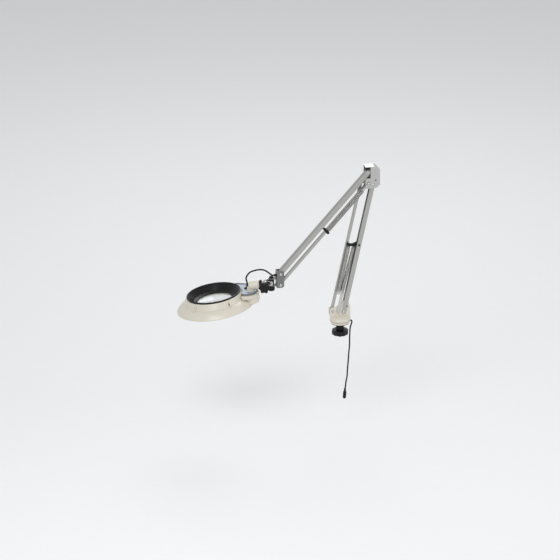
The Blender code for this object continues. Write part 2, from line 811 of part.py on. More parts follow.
def grown(points, amount):
    """Moves an outer edge outwards, away from the head's middle."""
    moved = []
    for i, here in enumerate(points):
        along = (points[min(i + 1, len(points) - 1)] - points[max(i - 1, 0)]).normalized()
        moved.append(here + Vector((along.y, -along.x)) * amount)
    return moved


def build_head(head, rocker_body):
    shell = turned("head_shell", [
        (81.0, 40.0),
        (DRUM_R, 22.0),
        (92.0, 21.0),
        (98.0, 19.0),
        (105.0, 14.0),
        (111.0, 7.5),
        (SKIRT_R, 2.5),
        (SKIRT_R, 0.0),
        (112.6, 0.0),
        (108.6, 6.0),
        (103.2, 12.0),
        (96.8, 16.6),
        (91.5, 18.6),
        (86.4, 19.8),
        (78.7, 40.0),
    ], HEAD, steps=40, loop=True)
    hold(shell, head, ENAMEL, "head_shell")

    hood = turned("hood_rim", [
        (77.8, 45.0),
        (HOOD_R, HOOD_TOP),
        (80.9, 40.4),
        (77.4, 40.4),
        (62.2, 21.9),
        (58.0, 21.9),
        (50.5, 22.9),
        (50.5, 24.9),
        (61.0, 25.2),
    ], HEAD, steps=40, loop=True)
    hold(hood, head, BLACK, "hood_rim")

    rings = 4
    top = [(LENS_R * i / rings, 20.9 + 4.1 * (1 - (i / rings) ** 2)) for i in range(rings + 1)]
    low = [(LENS_R * i / rings, 13.5 - 4.1 * (1 - (i / rings) ** 2)) for i in range(rings, -1, -1)]
    lens = turned("lens", top + low, HEAD, steps=40)
    hold(lens, head, ((0.9, 0.95, 0.95), 0.03, 0.0, 1.0), "lens")

    board = turned("led_board", [(98.0, 12.1), (98.0, 10.5), (67.5, 10.5), (67.5, 12.1)],
                   HEAD, steps=32, loop=True)
    hold(board, head, ((0.75, 0.76, 0.74), 0.5), "led_board")
    diffuser = turned("diffuser", [(106.5, 4.4), (106.5, 2.6), (62.0, 2.6), (62.0, 4.4)],
                      HEAD, steps=32, loop=True)
    hold(diffuser, head, ((0.85, 0.86, 0.86), 0.35), "diffuser")
    bezel = turned("lens_bezel", [(61.6, 9.3), (61.6, 1.2), (57.5, 1.2), (57.5, 9.3)],
                   HEAD, steps=32, loop=True)
    hold(bezel, head, ENAMEL, "lens_bezel")

    for number, angle in enumerate((92.0, -52.0, 164.0, -125.0), start=1):
        radial = HEAD @ Matrix.Rotation(math.radians(angle), 4, "Z")
        gusset_frame = radial @ Matrix.Rotation(math.radians(90), 4, "X")
        gusset = plate("hood_clip_%d" % number, rounded([
            (88.9, 22.6),
            (95.2, 20.8),
            (84.6, 36.5, 0.8),
            (83.2, 36.5),
        ]), 4.0, gusset_frame)
        hold(gusset, head, ENAMEL, "hood_clip_%d" % number)

    deck_arc = arc(89.6, 53.0, -20.0, 12)
    deck_outline = [Vector(p) for p in deck_arc] + edge_points(DECK_EDGE, deck_arc)
    deck = plate("rear_deck", deck_outline, DECK_TOP - 22.6, shifted(HEAD, z=(DECK_TOP + 22.6) / 2))
    heel = plate("deck_heel", rounded([
        (117.5, -30.0, 2.0),
        (132.0, -20.0, 8.0),
        (132.0, 20.0, 8.0),
        (117.5, 30.0, 2.0),
    ]), 22.0, shifted(HEAD, z=15.0), cutter=True)
    combine(deck, heel, "UNION")
    hold(deck, head, ENAMEL, "rear_deck")

    plate_arc = arc(84.9, 50.0, -9.0, 10)
    edge = edge_points(PLATE_EDGE, plate_arc)
    cover = plate("switch_plate", [Vector(p) for p in plate_arc] + edge, 2.0, shifted(HEAD, z=33.4))
    hold(cover, head, ((0.55, 0.60, 0.66), 0.35, 0.6), "switch_plate")

    inner = grown(edge, GAP)
    outer = grown(edge, 2.6)
    rim = plate("plate_rim", inner + outer[::-1], 4.2, shifted(HEAD, z=34.45))
    hold(rim, head, ((0.22, 0.23, 0.25), 0.45), "plate_rim")

    neck_frame = along_x(shifted(HEAD, z=NECK_HEIGHT))
    neck = turned("neck", [
        (0.0, 140.2),
        (11.6, 140.2),
        (12.5, 139.4),
        (12.5, 112.0),
        (10.5, 107.5),
        (0.0, 106.0),
    ], neck_frame, steps=32)
    foot = plate("neck_foot", rounded([
        (102.0, -9.5, 4.0),
        (121.5, -9.5, 4.0),
        (121.5, 9.5, 4.0),
        (102.0, 9.5, 4.0),
    ]), 13.2, shifted(HEAD, z=41.4), cutter=True)
    combine(neck, foot, "UNION")
    hold(neck, head, ENAMEL, "neck")

    gland = turned("head_gland", [
        (0.0, 37.0),
        (3.4, 37.0),
        (4.2, 36.2),
        (4.2, 34.75),
        (0.0, 34.75),
    ], shifted(HEAD, x=97.0, y=46.0), steps=20)
    hold(gland, head, BLACK, "head_gland")

    rocker = box("rocker_switch", (-6.5, -4.0, -1.0), (6.5, 4.0, 2.0), shifted(HEAD, *ROCKER))
    bevel(rocker, 0.6)
    hold(rocker, rocker_body, BLACK, "rocker_switch")


# Cords -------------------------------------------------------------------------------

CABLE_R = 2.35
CABLE_ROUTE = [
    [(6.0, 1.8, 171.0), (1.8, 1.2, 171.4), (-6.6, 6.0, 175.6)],
    [(-6.6, 6.0, 175.6), (-19.5, 14.0, 180.2), (-33.7, 21.0, 179.7)],
    [(-33.7, 21.0, 179.7), (-49.7, 28.0, 174.1), (-67.0, 36.0, 163.2), (-77.9, 42.0, 144.2),
     (-75.2, 45.0, 126.7), (-74.7, 45.9, 119.6)],
]
POWER_ROUTE = [
    (32.1, 1.5, 5.2), (34.4, 1.5, 4.6), (36.0, 1.5, 1.0), (35.2, 1.5, -5.0), (32.3, 1.5, -13.0),
    (30.4, 1.5, -24.0), (29.3, 1.0, -46.0), (28.7, 0.8, -76.0), (26.8, 0.5, -94.0),
    (25.6, 0.0, -111.0), (24.1, 0.0, -130.0), (22.3, 0.0, -154.0), (21.1, 0.0, -173.0),
    (18.1, 0.0, -188.0), (16.6, 0.0, -203.0), (15.3, 0.0, -208.9),
]
POWER_R = 2.15


def build_head_cable(bodies):
    whole = [knot for stretch in CABLE_ROUTE for knot in stretch[:-1]] + [CABLE_ROUTE[-1][-1]]
    path = [WRIST @ p for p in smooth_path(whole, 6.0)]
    cuts = []
    for stretch in CABLE_ROUTE[:-1]:
        corner = WRIST @ Vector(stretch[-1])
        cuts.append(min(range(len(path)), key=lambda i: (path[i] - corner).length))
    starts = [0, *cuts]
    ends = [*cuts, len(path) - 1]
    for number, (first, last) in enumerate(zip(starts, ends), start=1):
        points = path[first:last + 1]
        if first > 0:
            points[0] = points[0] + (points[1] - points[0]).normalized() * 0.4
        piece = wire("head_cable_%d" % number, points, CABLE_R)
        hold(piece, bodies[number - 1], BLACK, "head_cable_%d" % number)


def build_power_cord(root):
    gland = turned("cord_gland", [
        (0.0, 31.5),
        (2.8, 31.5),
        (3.2, 30.6),
        (3.2, FOOT_R + GAP),
        (0.0, FOOT_R + GAP),
    ], along_x(Matrix.Translation((0.0, 1.5, 5.2))), steps=20)
    hold(gland, root, BLACK, "cord_gland")
    cord = wire("power_cord", smooth_path(POWER_ROUTE, 8.0), POWER_R)
    hold(cord, root, BLACK, "power_cord")
    connector_axis = Matrix.Translation((15.2, 0.0, -209.4)) @ Matrix.Rotation(math.radians(4), 4, "Y")
    connector = turned("connector", [
        (0.0, 0.0),
        (2.9, 0.0),
        (3.4, -9.0),
        (5.0, -10.5),
        (5.0, -28.0),
        (4.2, -31.2),
        (0.0, -31.2),
    ], connector_axis, steps=20)
    hold(connector, root, BLACK, "connector")


# Assembly ----------------------------------------------------------------------------

def build_lamp():
    origin = Vector((0.0, 0.0, 0.0))
    root = body("body_foot", origin)
    washer = body("body_washer", Vector((0.0, 0.0, -2.0)), root)
    nut = body("body_nut", Vector((0.0, 0.0, -8.0)), washer)
    swivel = body("body_swivel", Vector((0.0, 0.0, 9.0)), root)
    lower = body("body_lower_arm", MAIN_FOOT, swivel)
    lower_rod = body("body_lower_rod", ROD_FOOT, swivel)
    link = body("body_spring_link", LOW @ Vector((-1.4, LINK_Y, 0.0)), lower)
    elbow = body("body_elbow", MAIN_HEAD, lower)
    upper = body("body_upper_arm", UPPER_TOP, elbow)
    upper_rod = body("body_upper_rod", UPPER_LOW, elbow)
    spring_collar = body("body_spring_collar", UP_ROD @ Vector((COLLAR_X, 0.0, 0.0)), upper_rod)
    bracket = body("body_end_bracket", UPPER_END, upper)
    wrist = body("body_wrist", WRIST_AXIS + Vector((0.0, 0.0, 151.0)), bracket)
    swivel_knob = body("body_swivel_knob", WRIST_AXIS + Vector((0.0, 0.0, 130.0)), wrist)
    tilt_knob = body("body_tilt_knob", TILT.to_translation(), wrist)
    tilt = body("body_tilt", TILT.to_translation(), wrist)
    roll_collar = body("body_roll_collar", HEAD @ Vector((144.0, 0.0, NECK_HEIGHT)), tilt)
    head = body("body_head", HEAD @ Vector((140.0, 0.0, NECK_HEIGHT)), tilt)
    rocker = body("body_rocker", HEAD @ Vector(ROCKER), head)

    build_foot(root)
    build_clamp(washer, nut)
    build_power_cord(root)
    build_swivel(swivel)
    build_lower_arm(lower, lower_rod, link)
    build_elbow(elbow)
    build_upper_arm(upper, upper_rod, spring_collar)
    build_end_bracket(bracket)
    build_wrist(wrist, swivel_knob, tilt_knob)
    build_tilt(tilt, roll_collar)
    build_head(head, rocker)
    build_head_cable((bracket, wrist, tilt))


build_lamp()
for shape in PART.objects:
    if shape.type == "MESH":
        shape.data.shade_smooth()
        shape.data.set_sharp_from_angle(angle=math.radians(35))
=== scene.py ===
import math

import bmesh
import bpy
from mathutils import Matrix, Vector


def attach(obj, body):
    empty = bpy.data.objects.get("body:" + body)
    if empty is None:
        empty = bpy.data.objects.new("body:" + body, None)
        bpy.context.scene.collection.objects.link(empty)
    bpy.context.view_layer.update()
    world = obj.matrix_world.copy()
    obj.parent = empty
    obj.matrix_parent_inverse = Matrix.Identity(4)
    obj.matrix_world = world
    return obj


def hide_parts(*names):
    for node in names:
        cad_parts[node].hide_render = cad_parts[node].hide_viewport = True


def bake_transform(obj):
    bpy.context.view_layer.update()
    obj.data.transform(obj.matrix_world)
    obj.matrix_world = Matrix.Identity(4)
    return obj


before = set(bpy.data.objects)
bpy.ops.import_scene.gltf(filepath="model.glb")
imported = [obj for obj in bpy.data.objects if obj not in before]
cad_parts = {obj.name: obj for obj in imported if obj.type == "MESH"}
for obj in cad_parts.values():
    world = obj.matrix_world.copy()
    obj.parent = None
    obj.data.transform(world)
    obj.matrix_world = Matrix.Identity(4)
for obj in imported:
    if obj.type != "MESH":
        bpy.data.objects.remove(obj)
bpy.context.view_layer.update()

# Lengths are in millimetres until a piece is finished, and angles in degrees where said.
MM = 0.001
LEAN = math.radians(12.4)
LOWER_LENGTH = 409.8
DROP = math.radians(48.58)
UPPER_LENGTH = 401.3
UPPER_SPACING = 34.5
UPPER_Y = -7.5
MAIN_FOOT = Vector((10.0, 0.0, 36.3))
ROD_OFFSET = Vector((-34.0, 0.0, 4.8))
UPPER_TOP = Vector((82.9, 0.0, 476.9))
WRIST_AXIS = Vector((-209.0, UPPER_Y, 0.0))
WRIST_TURN = math.radians(-17.0)
TILT_PIVOT = Vector((-17.6, 0.0, 143.1))
HEAD_TILT = math.radians(9.5)
NECK_REACH = 157.2
NECK_HEIGHT = 51.6

CAMERA_AZIMUTH = math.radians(-12.0)
CAMERA_ELEVATION = math.radians(22.0)
CAMERA_DISTANCE = 4.0
VIEW_WIDTH = 1.652
VIEW_RIGHT = -0.177
VIEW_UP = 0.126
FLOOR_HEIGHT = -0.32


# Frames ------------------------------------------------------------------------------

def side_frame(origin, along):
    """X along the given direction in the XZ plane, Z towards the front (-Y)."""
    x = Vector((along[0], 0.0, along[1])).normalized()
    z = Vector((0.0, -1.0, 0.0))
    rotation = Matrix((x, z.cross(x), z)).transposed().to_4x4()
    return Matrix.Translation(origin) @ rotation


def facing_front(origin):
    """A frame seen from the front: X to the right, Y up, Z towards the front."""
    return side_frame(origin, (1.0, 0.0))


def shifted(place, x=0.0, y=0.0, z=0.0):
    return place @ Matrix.Translation((x, y, z))


def along_x(place):
    return place @ Matrix.Rotation(math.radians(90), 4, "Y")


def along_front(place):
    return place @ Matrix.Rotation(math.radians(90), 4, "X")


T_LOW = (math.sin(LEAN), math.cos(LEAN))
T_UP = (-math.cos(DROP), -math.sin(DROP))
ROD_FOOT = MAIN_FOOT + ROD_OFFSET
MAIN_HEAD = MAIN_FOOT + Vector((T_LOW[0], 0.0, T_LOW[1])) * LOWER_LENGTH
ROD_HEAD = MAIN_HEAD + ROD_OFFSET
UPPER_LOW = UPPER_TOP - Vector((0.0, 0.0, UPPER_SPACING))
UPPER_END = UPPER_TOP + Vector((T_UP[0], 0.0, T_UP[1])) * UPPER_LENGTH
UPPER_END_LOW = UPPER_END - Vector((0.0, 0.0, UPPER_SPACING))
WORLD = Matrix()
FRONT = side_frame(Vector((0.0, 0.0, 0.0)), (1.0, 0.0))
LOW = side_frame(MAIN_FOOT, T_LOW)
LOW_ROD = side_frame(ROD_FOOT, T_LOW)
UP = side_frame(UPPER_TOP, T_UP)
UP_ROD = side_frame(UPPER_LOW, T_UP)
WRIST = Matrix.Translation(WRIST_AXIS) @ Matrix.Rotation(WRIST_TURN, 4, "Z")
TILT = WRIST @ Matrix.Translation(TILT_PIVOT)
HEAD = TILT @ Matrix.Rotation(-HEAD_TILT, 4, "Y") @ Matrix.Translation((-NECK_REACH, 0.0, -NECK_HEIGHT))
NECK = along_x(shifted(HEAD, z=NECK_HEIGHT))


# Materials ---------------------------------------------------------------------------

def surface(name, colour, rough, metallic=0.0, grain=400.0, bump=0.0, mottle=0.04, spread=0.06,
            coat=0.0, transmission=0.0, ior=1.5, specular=0.5):
    """A finish whose tone, gloss and relief vary over the piece at the scale of its grain."""
    mat = bpy.data.materials.new(name)
    mat.use_nodes = True
    nodes = mat.node_tree.nodes
    links = mat.node_tree.links
    shader = nodes["Principled BSDF"]
    shader.inputs["Metallic"].default_value = metallic
    shader.inputs["Coat Weight"].default_value = coat
    shader.inputs["Coat Roughness"].default_value = 0.15
    shader.inputs["Transmission Weight"].default_value = transmission
    shader.inputs["IOR"].default_value = ior
    shader.inputs["Specular IOR Level"].default_value = specular
    place = nodes.new("ShaderNodeTexCoord")
    broad = nodes.new("ShaderNodeTexNoise")
    broad.inputs["Scale"].default_value = 28.0
    broad.inputs["Detail"].default_value = 4.0
    links.new(place.outputs["Object"], broad.inputs["Vector"])
    fine = nodes.new("ShaderNodeTexNoise")
    fine.inputs["Scale"].default_value = grain
    fine.inputs["Detail"].default_value = 3.0
    links.new(place.outputs["Object"], fine.inputs["Vector"])
    tone = nodes.new("ShaderNodeMix")
    tone.data_type = "RGBA"
    tone.inputs["A"].default_value = (*[c * (1 - mottle) for c in colour], 1.0)
    tone.inputs["B"].default_value = (*[min(1.0, c * (1 + mottle)) for c in colour], 1.0)
    links.new(broad.outputs["Fac"], tone.inputs["Factor"])
    links.new(tone.outputs["Result"], shader.inputs["Base Color"])
    gloss = nodes.new("ShaderNodeMapRange")
    gloss.inputs["To Min"].default_value = max(0.02, rough - spread)
    gloss.inputs["To Max"].default_value = min(1.0, rough + spread)
    links.new(fine.outputs["Fac"], gloss.inputs["Value"])
    links.new(gloss.outputs["Result"], shader.inputs["Roughness"])
    if bump:
        relief = nodes.new("ShaderNodeBump")
        relief.inputs["Strength"].default_value = bump
        relief.inputs["Distance"].default_value = 0.0002
        links.new(fine.outputs["Fac"], relief.inputs["Height"])
        links.new(relief.outputs["Normal"], shader.inputs["Normal"])
    return mat


ENAMEL = surface("cream_enamel", (0.70, 0.66, 0.56), 0.34, grain=900.0, bump=0.12, mottle=0.025, coat=0.25)
SATIN = surface("satin_metal", (0.47, 0.465, 0.445), 0.36, 0.85, grain=700.0, bump=0.18, mottle=0.06, spread=0.10)
ELBOW = surface("elbow_metal", (0.56, 0.56, 0.545), 0.33, 0.85, grain=800.0, bump=0.15, mottle=0.05, spread=0.08)
DARK = surface("dark_metal", (0.20, 0.20, 0.195), 0.42, 0.4, grain=900.0, bump=0.2, mottle=0.08, spread=0.08)
STEEL = surface("zinc_steel", (0.60, 0.60, 0.60), 0.26, 1.0, grain=500.0, bump=0.1, mottle=0.07, spread=0.09)
SPRING = surface("spring_steel", (0.46, 0.455, 0.44), 0.30, 1.0, grain=600.0, bump=0.05, mottle=0.08, spread=0.08)
BLACK = surface("black_plastic", (0.010, 0.010, 0.011), 0.44, grain=1400.0, bump=0.3, mottle=0.15, spread=0.08,
                specular=0.22)
GLOSSY = surface("black_enamel", (0.008, 0.008, 0.009), 0.26, grain=1200.0, bump=0.08, mottle=0.1, spread=0.05,
                 specular=0.25)
RUBBER = surface("black_cord", (0.012, 0.012, 0.013), 0.52, grain=1100.0, bump=0.2, mottle=0.12, spread=0.07,
                 specular=0.25)
GLASS = surface("lens_glass", (0.95, 0.975, 0.97), 0.025, transmission=1.0, grain=60.0, mottle=0.004,
                spread=0.01)
FROST = surface("frosted_cover", (0.86, 0.875, 0.88), 0.45, transmission=0.35, grain=1500.0, bump=0.3, mottle=0.02)
WHITE = surface("white_board", (0.78, 0.78, 0.76), 0.5, grain=900.0, bump=0.1)
LED = surface("led_yellow", (0.85, 0.72, 0.30), 0.3, grain=900.0)
PLATE = surface("plate_blue", (0.46, 0.52, 0.60), 0.34, 0.55, grain=900.0, bump=0.15, mottle=0.04)
RIM = surface("rim_grey", (0.16, 0.17, 0.185), 0.42, grain=1200.0, bump=0.25, mottle=0.08)


# Making pieces -----------------------------------------------------------------------

def fillet(before, corner, after, radius, step):
    """Points along the arc that rounds a corner, with a radius that leaves room for its neighbours."""
    to_before = (before - corner).normalized()
    to_after = (after - corner).normalized()
    half = to_before.angle(to_after) / 2
    if half > math.radians(89):
        return [corner]
    limit = 0.49 * min((before - corner).length, (after - corner).length) * math.tan(half)
    radius = min(radius, limit)
    reach = radius / math.tan(half)
    centre = corner + (to_before + to_after).normalized() * (radius / math.sin(half))
    start = corner + to_before * reach - centre
    end = corner + to_after * reach - centre
    first = math.atan2(start.y, start.x)
    sweep = math.atan2(end.y, end.x) - first
    sweep = (sweep + math.pi) % (2 * math.pi) - math.pi
    count = max(1, math.ceil(abs(sweep) / step))
    angles = [first + sweep * i / count for i in range(count + 1)]
    return [centre + Vector((math.cos(a), math.sin(a))) * radius for a in angles]


def rounded(corners, closed=True, step=math.radians(9)):
    """Turns (x, y) and (x, y, radius) corners into the points of an outline."""
    points = []
    for i, corner in enumerate(corners):
        here = Vector(corner[:2])
        end = not closed and i in (0, len(corners) - 1)
        if len(corner) == 2 or end:
            points.append(here)
            continue
        before = Vector(corners[i - 1][:2])
        after = Vector(corners[(i + 1) % len(corners)][:2])
        points.extend(fillet(before, here, after, corner[2], step))
    kept = []
    for point in points:
        if not kept or (point - kept[-1]).length > 0.003:
            kept.append(point)
    if closed and (kept[0] - kept[-1]).length < 0.003:
        kept.pop()
    return kept


def polar(radius_at, count):
    """A closed outline whose radius is a function of the angle."""
    angles = [2 * math.pi * i / count for i in range(count)]
    return [Vector((radius_at(a) * math.cos(a), radius_at(a) * math.sin(a))) for a in angles]


def hexagon(flat_radius):
    """The outline of a hex nut, from the distance between its middle and a flat."""
    return polar(lambda a: flat_radius / math.cos(a % math.radians(60) - math.radians(30)), 24)


def bar(x0, x1, half):
    """A strip with round ends whose middles are at x0 and x1."""
    return rounded([
        (x0 - half, -half, half),
        (x1 + half, -half, half),
        (x1 + half, half, half),
        (x0 - half, half, half),
    ])


class Piece:
    """One visible piece, put together in millimetres from turned, flat and boxy shapes."""

    def __init__(self, name):
        self.name = name
        self.mesh = bmesh.new()

    def turned(self, profile, place, steps=64, loop=False, soften=0.25):
        """Turns a profile of (radius, height) down its outer side around the Z axis."""
        corners = [(*p[:2], p[2] if len(p) > 2 else soften) for p in profile]
        points = rounded(corners, closed=loop, step=math.radians(24))
        rings = []
        for point in points:
            if abs(point.x) < 1e-6:
                rings.append([self.mesh.verts.new(place @ Vector((0.0, 0.0, point.y)))])
                continue
            turns = [2 * math.pi * i / steps for i in range(steps)]
            rings.append([self.mesh.verts.new(
                place @ Vector((point.x * math.cos(a), point.x * math.sin(a), point.y))) for a in turns])
        pairs = list(zip(rings, rings[1:]))
        if loop:
            pairs.append((rings[-1], rings[0]))
        for upper, lower in pairs:
            for i in range(steps):
                k = (i + 1) % steps
                face = [upper[i % len(upper)], lower[i % len(lower)], lower[k % len(lower)], upper[k % len(upper)]]
                unique = []
                for vert in face:
                    if vert not in unique:
                        unique.append(vert)
                if len(unique) > 2:
                    self.mesh.faces.new(unique)
        return self

    def flat(self, outline, z0, z1, place):
        """A flat outline between two heights of its frame."""
        low = [self.mesh.verts.new(place @ Vector((p.x, p.y, z0))) for p in outline]
        high = [self.mesh.verts.new(place @ Vector((p.x, p.y, z1))) for p in outline]
        self.mesh.faces.new(low[::-1])
        self.mesh.faces.new(high)
        for i in range(len(outline)):
            k = (i + 1) % len(outline)
            self.mesh.faces.new((low[i], low[k], high[k], high[i]))
        return self

    def swept(self, profile, place, first, last, count=24):
        """A closed (radius, height) profile swept between two angles round the Z axis."""
        rings = []
        for i in range(count + 1):
            a = math.radians(first + (last - first) * i / count)
            spots = [Vector((r * math.cos(a), r * math.sin(a), h)) for r, h in profile]
            rings.append([self.mesh.verts.new(place @ spot) for spot in spots])
        size = len(profile)
        for one, two in zip(rings, rings[1:]):
            for i in range(size):
                k = (i + 1) % size
                self.mesh.faces.new((one[i], one[k], two[k], two[i]))
        self.mesh.faces.new(rings[0])
        self.mesh.faces.new(rings[-1][::-1])
        return self

    def box(self, low, high, place):
        """A box between two corners of its frame."""
        corners = [(low[0], low[1]), (high[0], low[1]), (high[0], high[1]), (low[0], high[1])]
        return self.flat([Vector(c) for c in corners], low[2], high[2], place)

    def tube(self, path, radius, sides=12):
        """A round wire along a path of world points, kept free of twist."""
        side = (path[1] - path[0]).orthogonal().normalized()
        rings = []
        for i, point in enumerate(path):
            along = (path[min(i + 1, len(path) - 1)] - path[max(i - 1, 0)]).normalized()
            side = (side - along * side.dot(along)).normalized()
            other = along.cross(side)
            turns = [2 * math.pi * k / sides for k in range(sides)]
            rings.append([self.mesh.verts.new(
                point + (side * math.cos(a) + other * math.sin(a)) * radius) for a in turns])
        for first, second in zip(rings, rings[1:]):
            for i in range(sides):
                k = (i + 1) % sides
                self.mesh.faces.new((first[i], first[k], second[k], second[i]))
        self.mesh.faces.new(rings[0][::-1])
        self.mesh.faces.new(rings[-1])
        return self

    def finish(self, material, body=None, bevel=0.0, sharp=32.0, slot=None, stands_for=()):
        """Makes the object in metres, with its finish, body and the CAD nodes it stands for. The slot argument is
        not used.
        """
        bmesh.ops.recalc_face_normals(self.mesh, faces=self.mesh.faces)
        bmesh.ops.scale(self.mesh, vec=(MM, MM, MM), verts=self.mesh.verts)
        data = bpy.data.meshes.new(self.name)
        self.mesh.to_mesh(data)
        self.mesh.free()
        data.materials.append(material)
        data.shade_smooth()
        data.set_sharp_from_angle(angle=math.radians(sharp))
        obj = bpy.data.objects.new(self.name, data)
        bpy.context.scene.collection.objects.link(obj)
        if bevel:
            edges = obj.modifiers.new("Edges", "BEVEL")
            edges.width = bevel * MM
            edges.segments = 2
            edges.limit_method = "ANGLE"
            edges.angle_limit = math.radians(sharp)
            edges.harden_normals = True
        if body:
            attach(obj, body)
        if stands_for:
            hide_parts(*stands_for)
        return obj


def smooth_path(knots, step):
    """Points about a step apart on a smooth curve through the knots."""
    knots = [Vector(k) for k in knots]
    ends = [2 * knots[0] - knots[1], *knots, 2 * knots[-1] - knots[-2]]
    path = [knots[0]]
    for i in range(1, len(ends) - 2):
        p0, p1, p2, p3 = ends[i - 1:i + 3]
        count = max(1, round((p2 - p1).length / step))
        for k in range(1, count + 1):
            t = k / count
            path.append(0.5 * (
                2 * p1
                + (p2 - p0) * t
                + (2 * p0 - 5 * p1 + 4 * p2 - p3) * t * t
                + (3 * p1 - p0 - 3 * p2 + p3) * t ** 3
            ))
    return path


# Camera ------------------------------------------------------------------------------

def make_camera():
    towards = Vector((
        math.sin(CAMERA_AZIMUTH) * math.cos(CAMERA_ELEVATION),
        -math.cos(CAMERA_AZIMUTH) * math.cos(CAMERA_ELEVATION),
        math.sin(CAMERA_ELEVATION),
    ))
    right = Vector((math.cos(CAMERA_AZIMUTH), math.sin(CAMERA_AZIMUTH), 0.0))
    up = towards.cross(right)
    rotation = Matrix((right, up, towards)).transposed()
    middle = right * VIEW_RIGHT + up * VIEW_UP
    data = bpy.data.cameras.new("camera")
    data.type = "ORTHO"
    data.ortho_scale = VIEW_WIDTH
    data.clip_end = 30.0
    camera = bpy.data.objects.new("camera", data)
    bpy.context.scene.collection.objects.link(camera)
    camera.matrix_world = Matrix.Translation(middle + towards * CAMERA_DISTANCE) @ rotation.to_4x4()
    bpy.context.scene.camera = camera
    bpy.context.scene.render.resolution_x = 1120
    bpy.context.scene.render.resolution_y = 1120


# Cords -------------------------------------------------------------------------------

POWER_ROUTE = [
    (32.1, 1.5, 5.2), (34.4, 1.5, 4.6), (36.0, 1.5, 1.0), (35.2, 1.5, -5.0), (32.3, 1.5, -13.0),
    (30.4, 1.5, -24.0), (29.3, 1.0, -46.0), (28.7, 0.8, -76.0), (26.8, 0.5, -94.0),
    (25.6, 0.0, -111.0), (24.1, 0.0, -130.0), (22.3, 0.0, -154.0), (21.1, 0.0, -173.0),
    (18.1, 0.0, -188.0), (16.6, 0.0, -203.0), (15.3, 0.0, -208.9),
]
POWER_R = 2.15
CABLE_ROUTE = [
    [(6.0, 1.8, 171.0), (1.8, 1.2, 171.4), (-6.6, 6.0, 175.6)],
    [(-6.6, 6.0, 175.6), (-19.5, 14.0, 180.2), (-33.7, 21.0, 179.7)],
    [(-33.7, 21.0, 179.7), (-49.7, 28.0, 174.1), (-67.0, 36.0, 163.2), (-77.9, 42.0, 144.2),
     (-75.2, 45.0, 126.7), (-74.7, 45.9, 119.6)],
]
CABLE_R = 2.35


def make_power_cord():
    axis = Matrix.Translation((15.2, 0.0, -209.4)) @ Matrix.Rotation(math.radians(4), 4, "Y")
    plug = Piece("cord_connector")
    plug.turned([(0.0, 0.0), (2.9, 0.0, 0.4), (3.1, -3.0), (2.5, -3.3), (2.5, -4.2), (3.2, -4.5), (3.3, -6.5),
                 (2.7, -6.8), (2.7, -7.7), (3.4, -8.0), (3.5, -9.4), (5.0, -11.0, 1.0), (5.0, -28.0, 0.6),
                 (4.3, -28.2), (4.3, -31.2, 0.5), (0.0, -31.2)], axis, steps=40)
    connector = plug.finish(BLACK, "foot", slot="black_plastic", stands_for=("connector",))
    path = smooth_path(POWER_ROUTE, 4.0)
    piece = Piece("mains_lead").tube(path, POWER_R, sides=16)
    lead = piece.finish(RUBBER, "foot", slot="black_cord", stands_for=("power_cord",))


def make_head_cable():
    whole = [knot for stretch in CABLE_ROUTE for knot in stretch[:-1]] + [CABLE_ROUTE[-1][-1]]
    path = [WRIST @ p for p in smooth_path(whole, 2.0)]
    cuts = [0]
    for stretch in CABLE_ROUTE[:-1]:
        corner = WRIST @ Vector(stretch[-1])
        cuts.append(min(range(len(path)), key=lambda i: (path[i] - corner).length))
    cuts.append(len(path) - 1)
    for number, (first, last) in enumerate(zip(cuts, cuts[1:])):
        points = path[first:last + 1]
        piece = Piece("head_lead_%d" % (number + 1)).tube(points, CABLE_R, sides=16)
        lead = piece.finish(RUBBER, slot="black_cord", stands_for=("head_cable_%d" % (number + 1),))
        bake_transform(lead)


# Fasteners ---------------------------------------------------------------------------

NUT_FLAT = 0.8742


def socket_bolt(name, place, front, back, body, node, head_r=4.6, nut_r=4.6):
    """A button head with a hex socket in front and a nut on its washer behind."""
    piece = Piece(name)
    washer_r = nut_r + 0.4
    piece.turned([(0.0, front + 1.0), (1.7, front + 1.0, 0.0), (1.7, front + 2.4, 0.1),
                  (head_r - 1.3, front + 2.4, 0.6), (head_r, front + 1.0, 0.5), (head_r, front, 0.1),
                  (1.6, front), (1.6, back), (0.0, back)], place, steps=40)
    piece.turned([(washer_r, back), (washer_r, back - 0.6), (0.0, back - 0.6), (0.0, back)],
                 place, steps=40)
    piece.flat(hexagon(nut_r * NUT_FLAT), back - 2.6, back - 0.6, place)
    return piece.finish(STEEL, body, sharp=30.0, slot="steel", stands_for=(node,))


# Foot, clamp and swivel ----------------------------------------------------------------

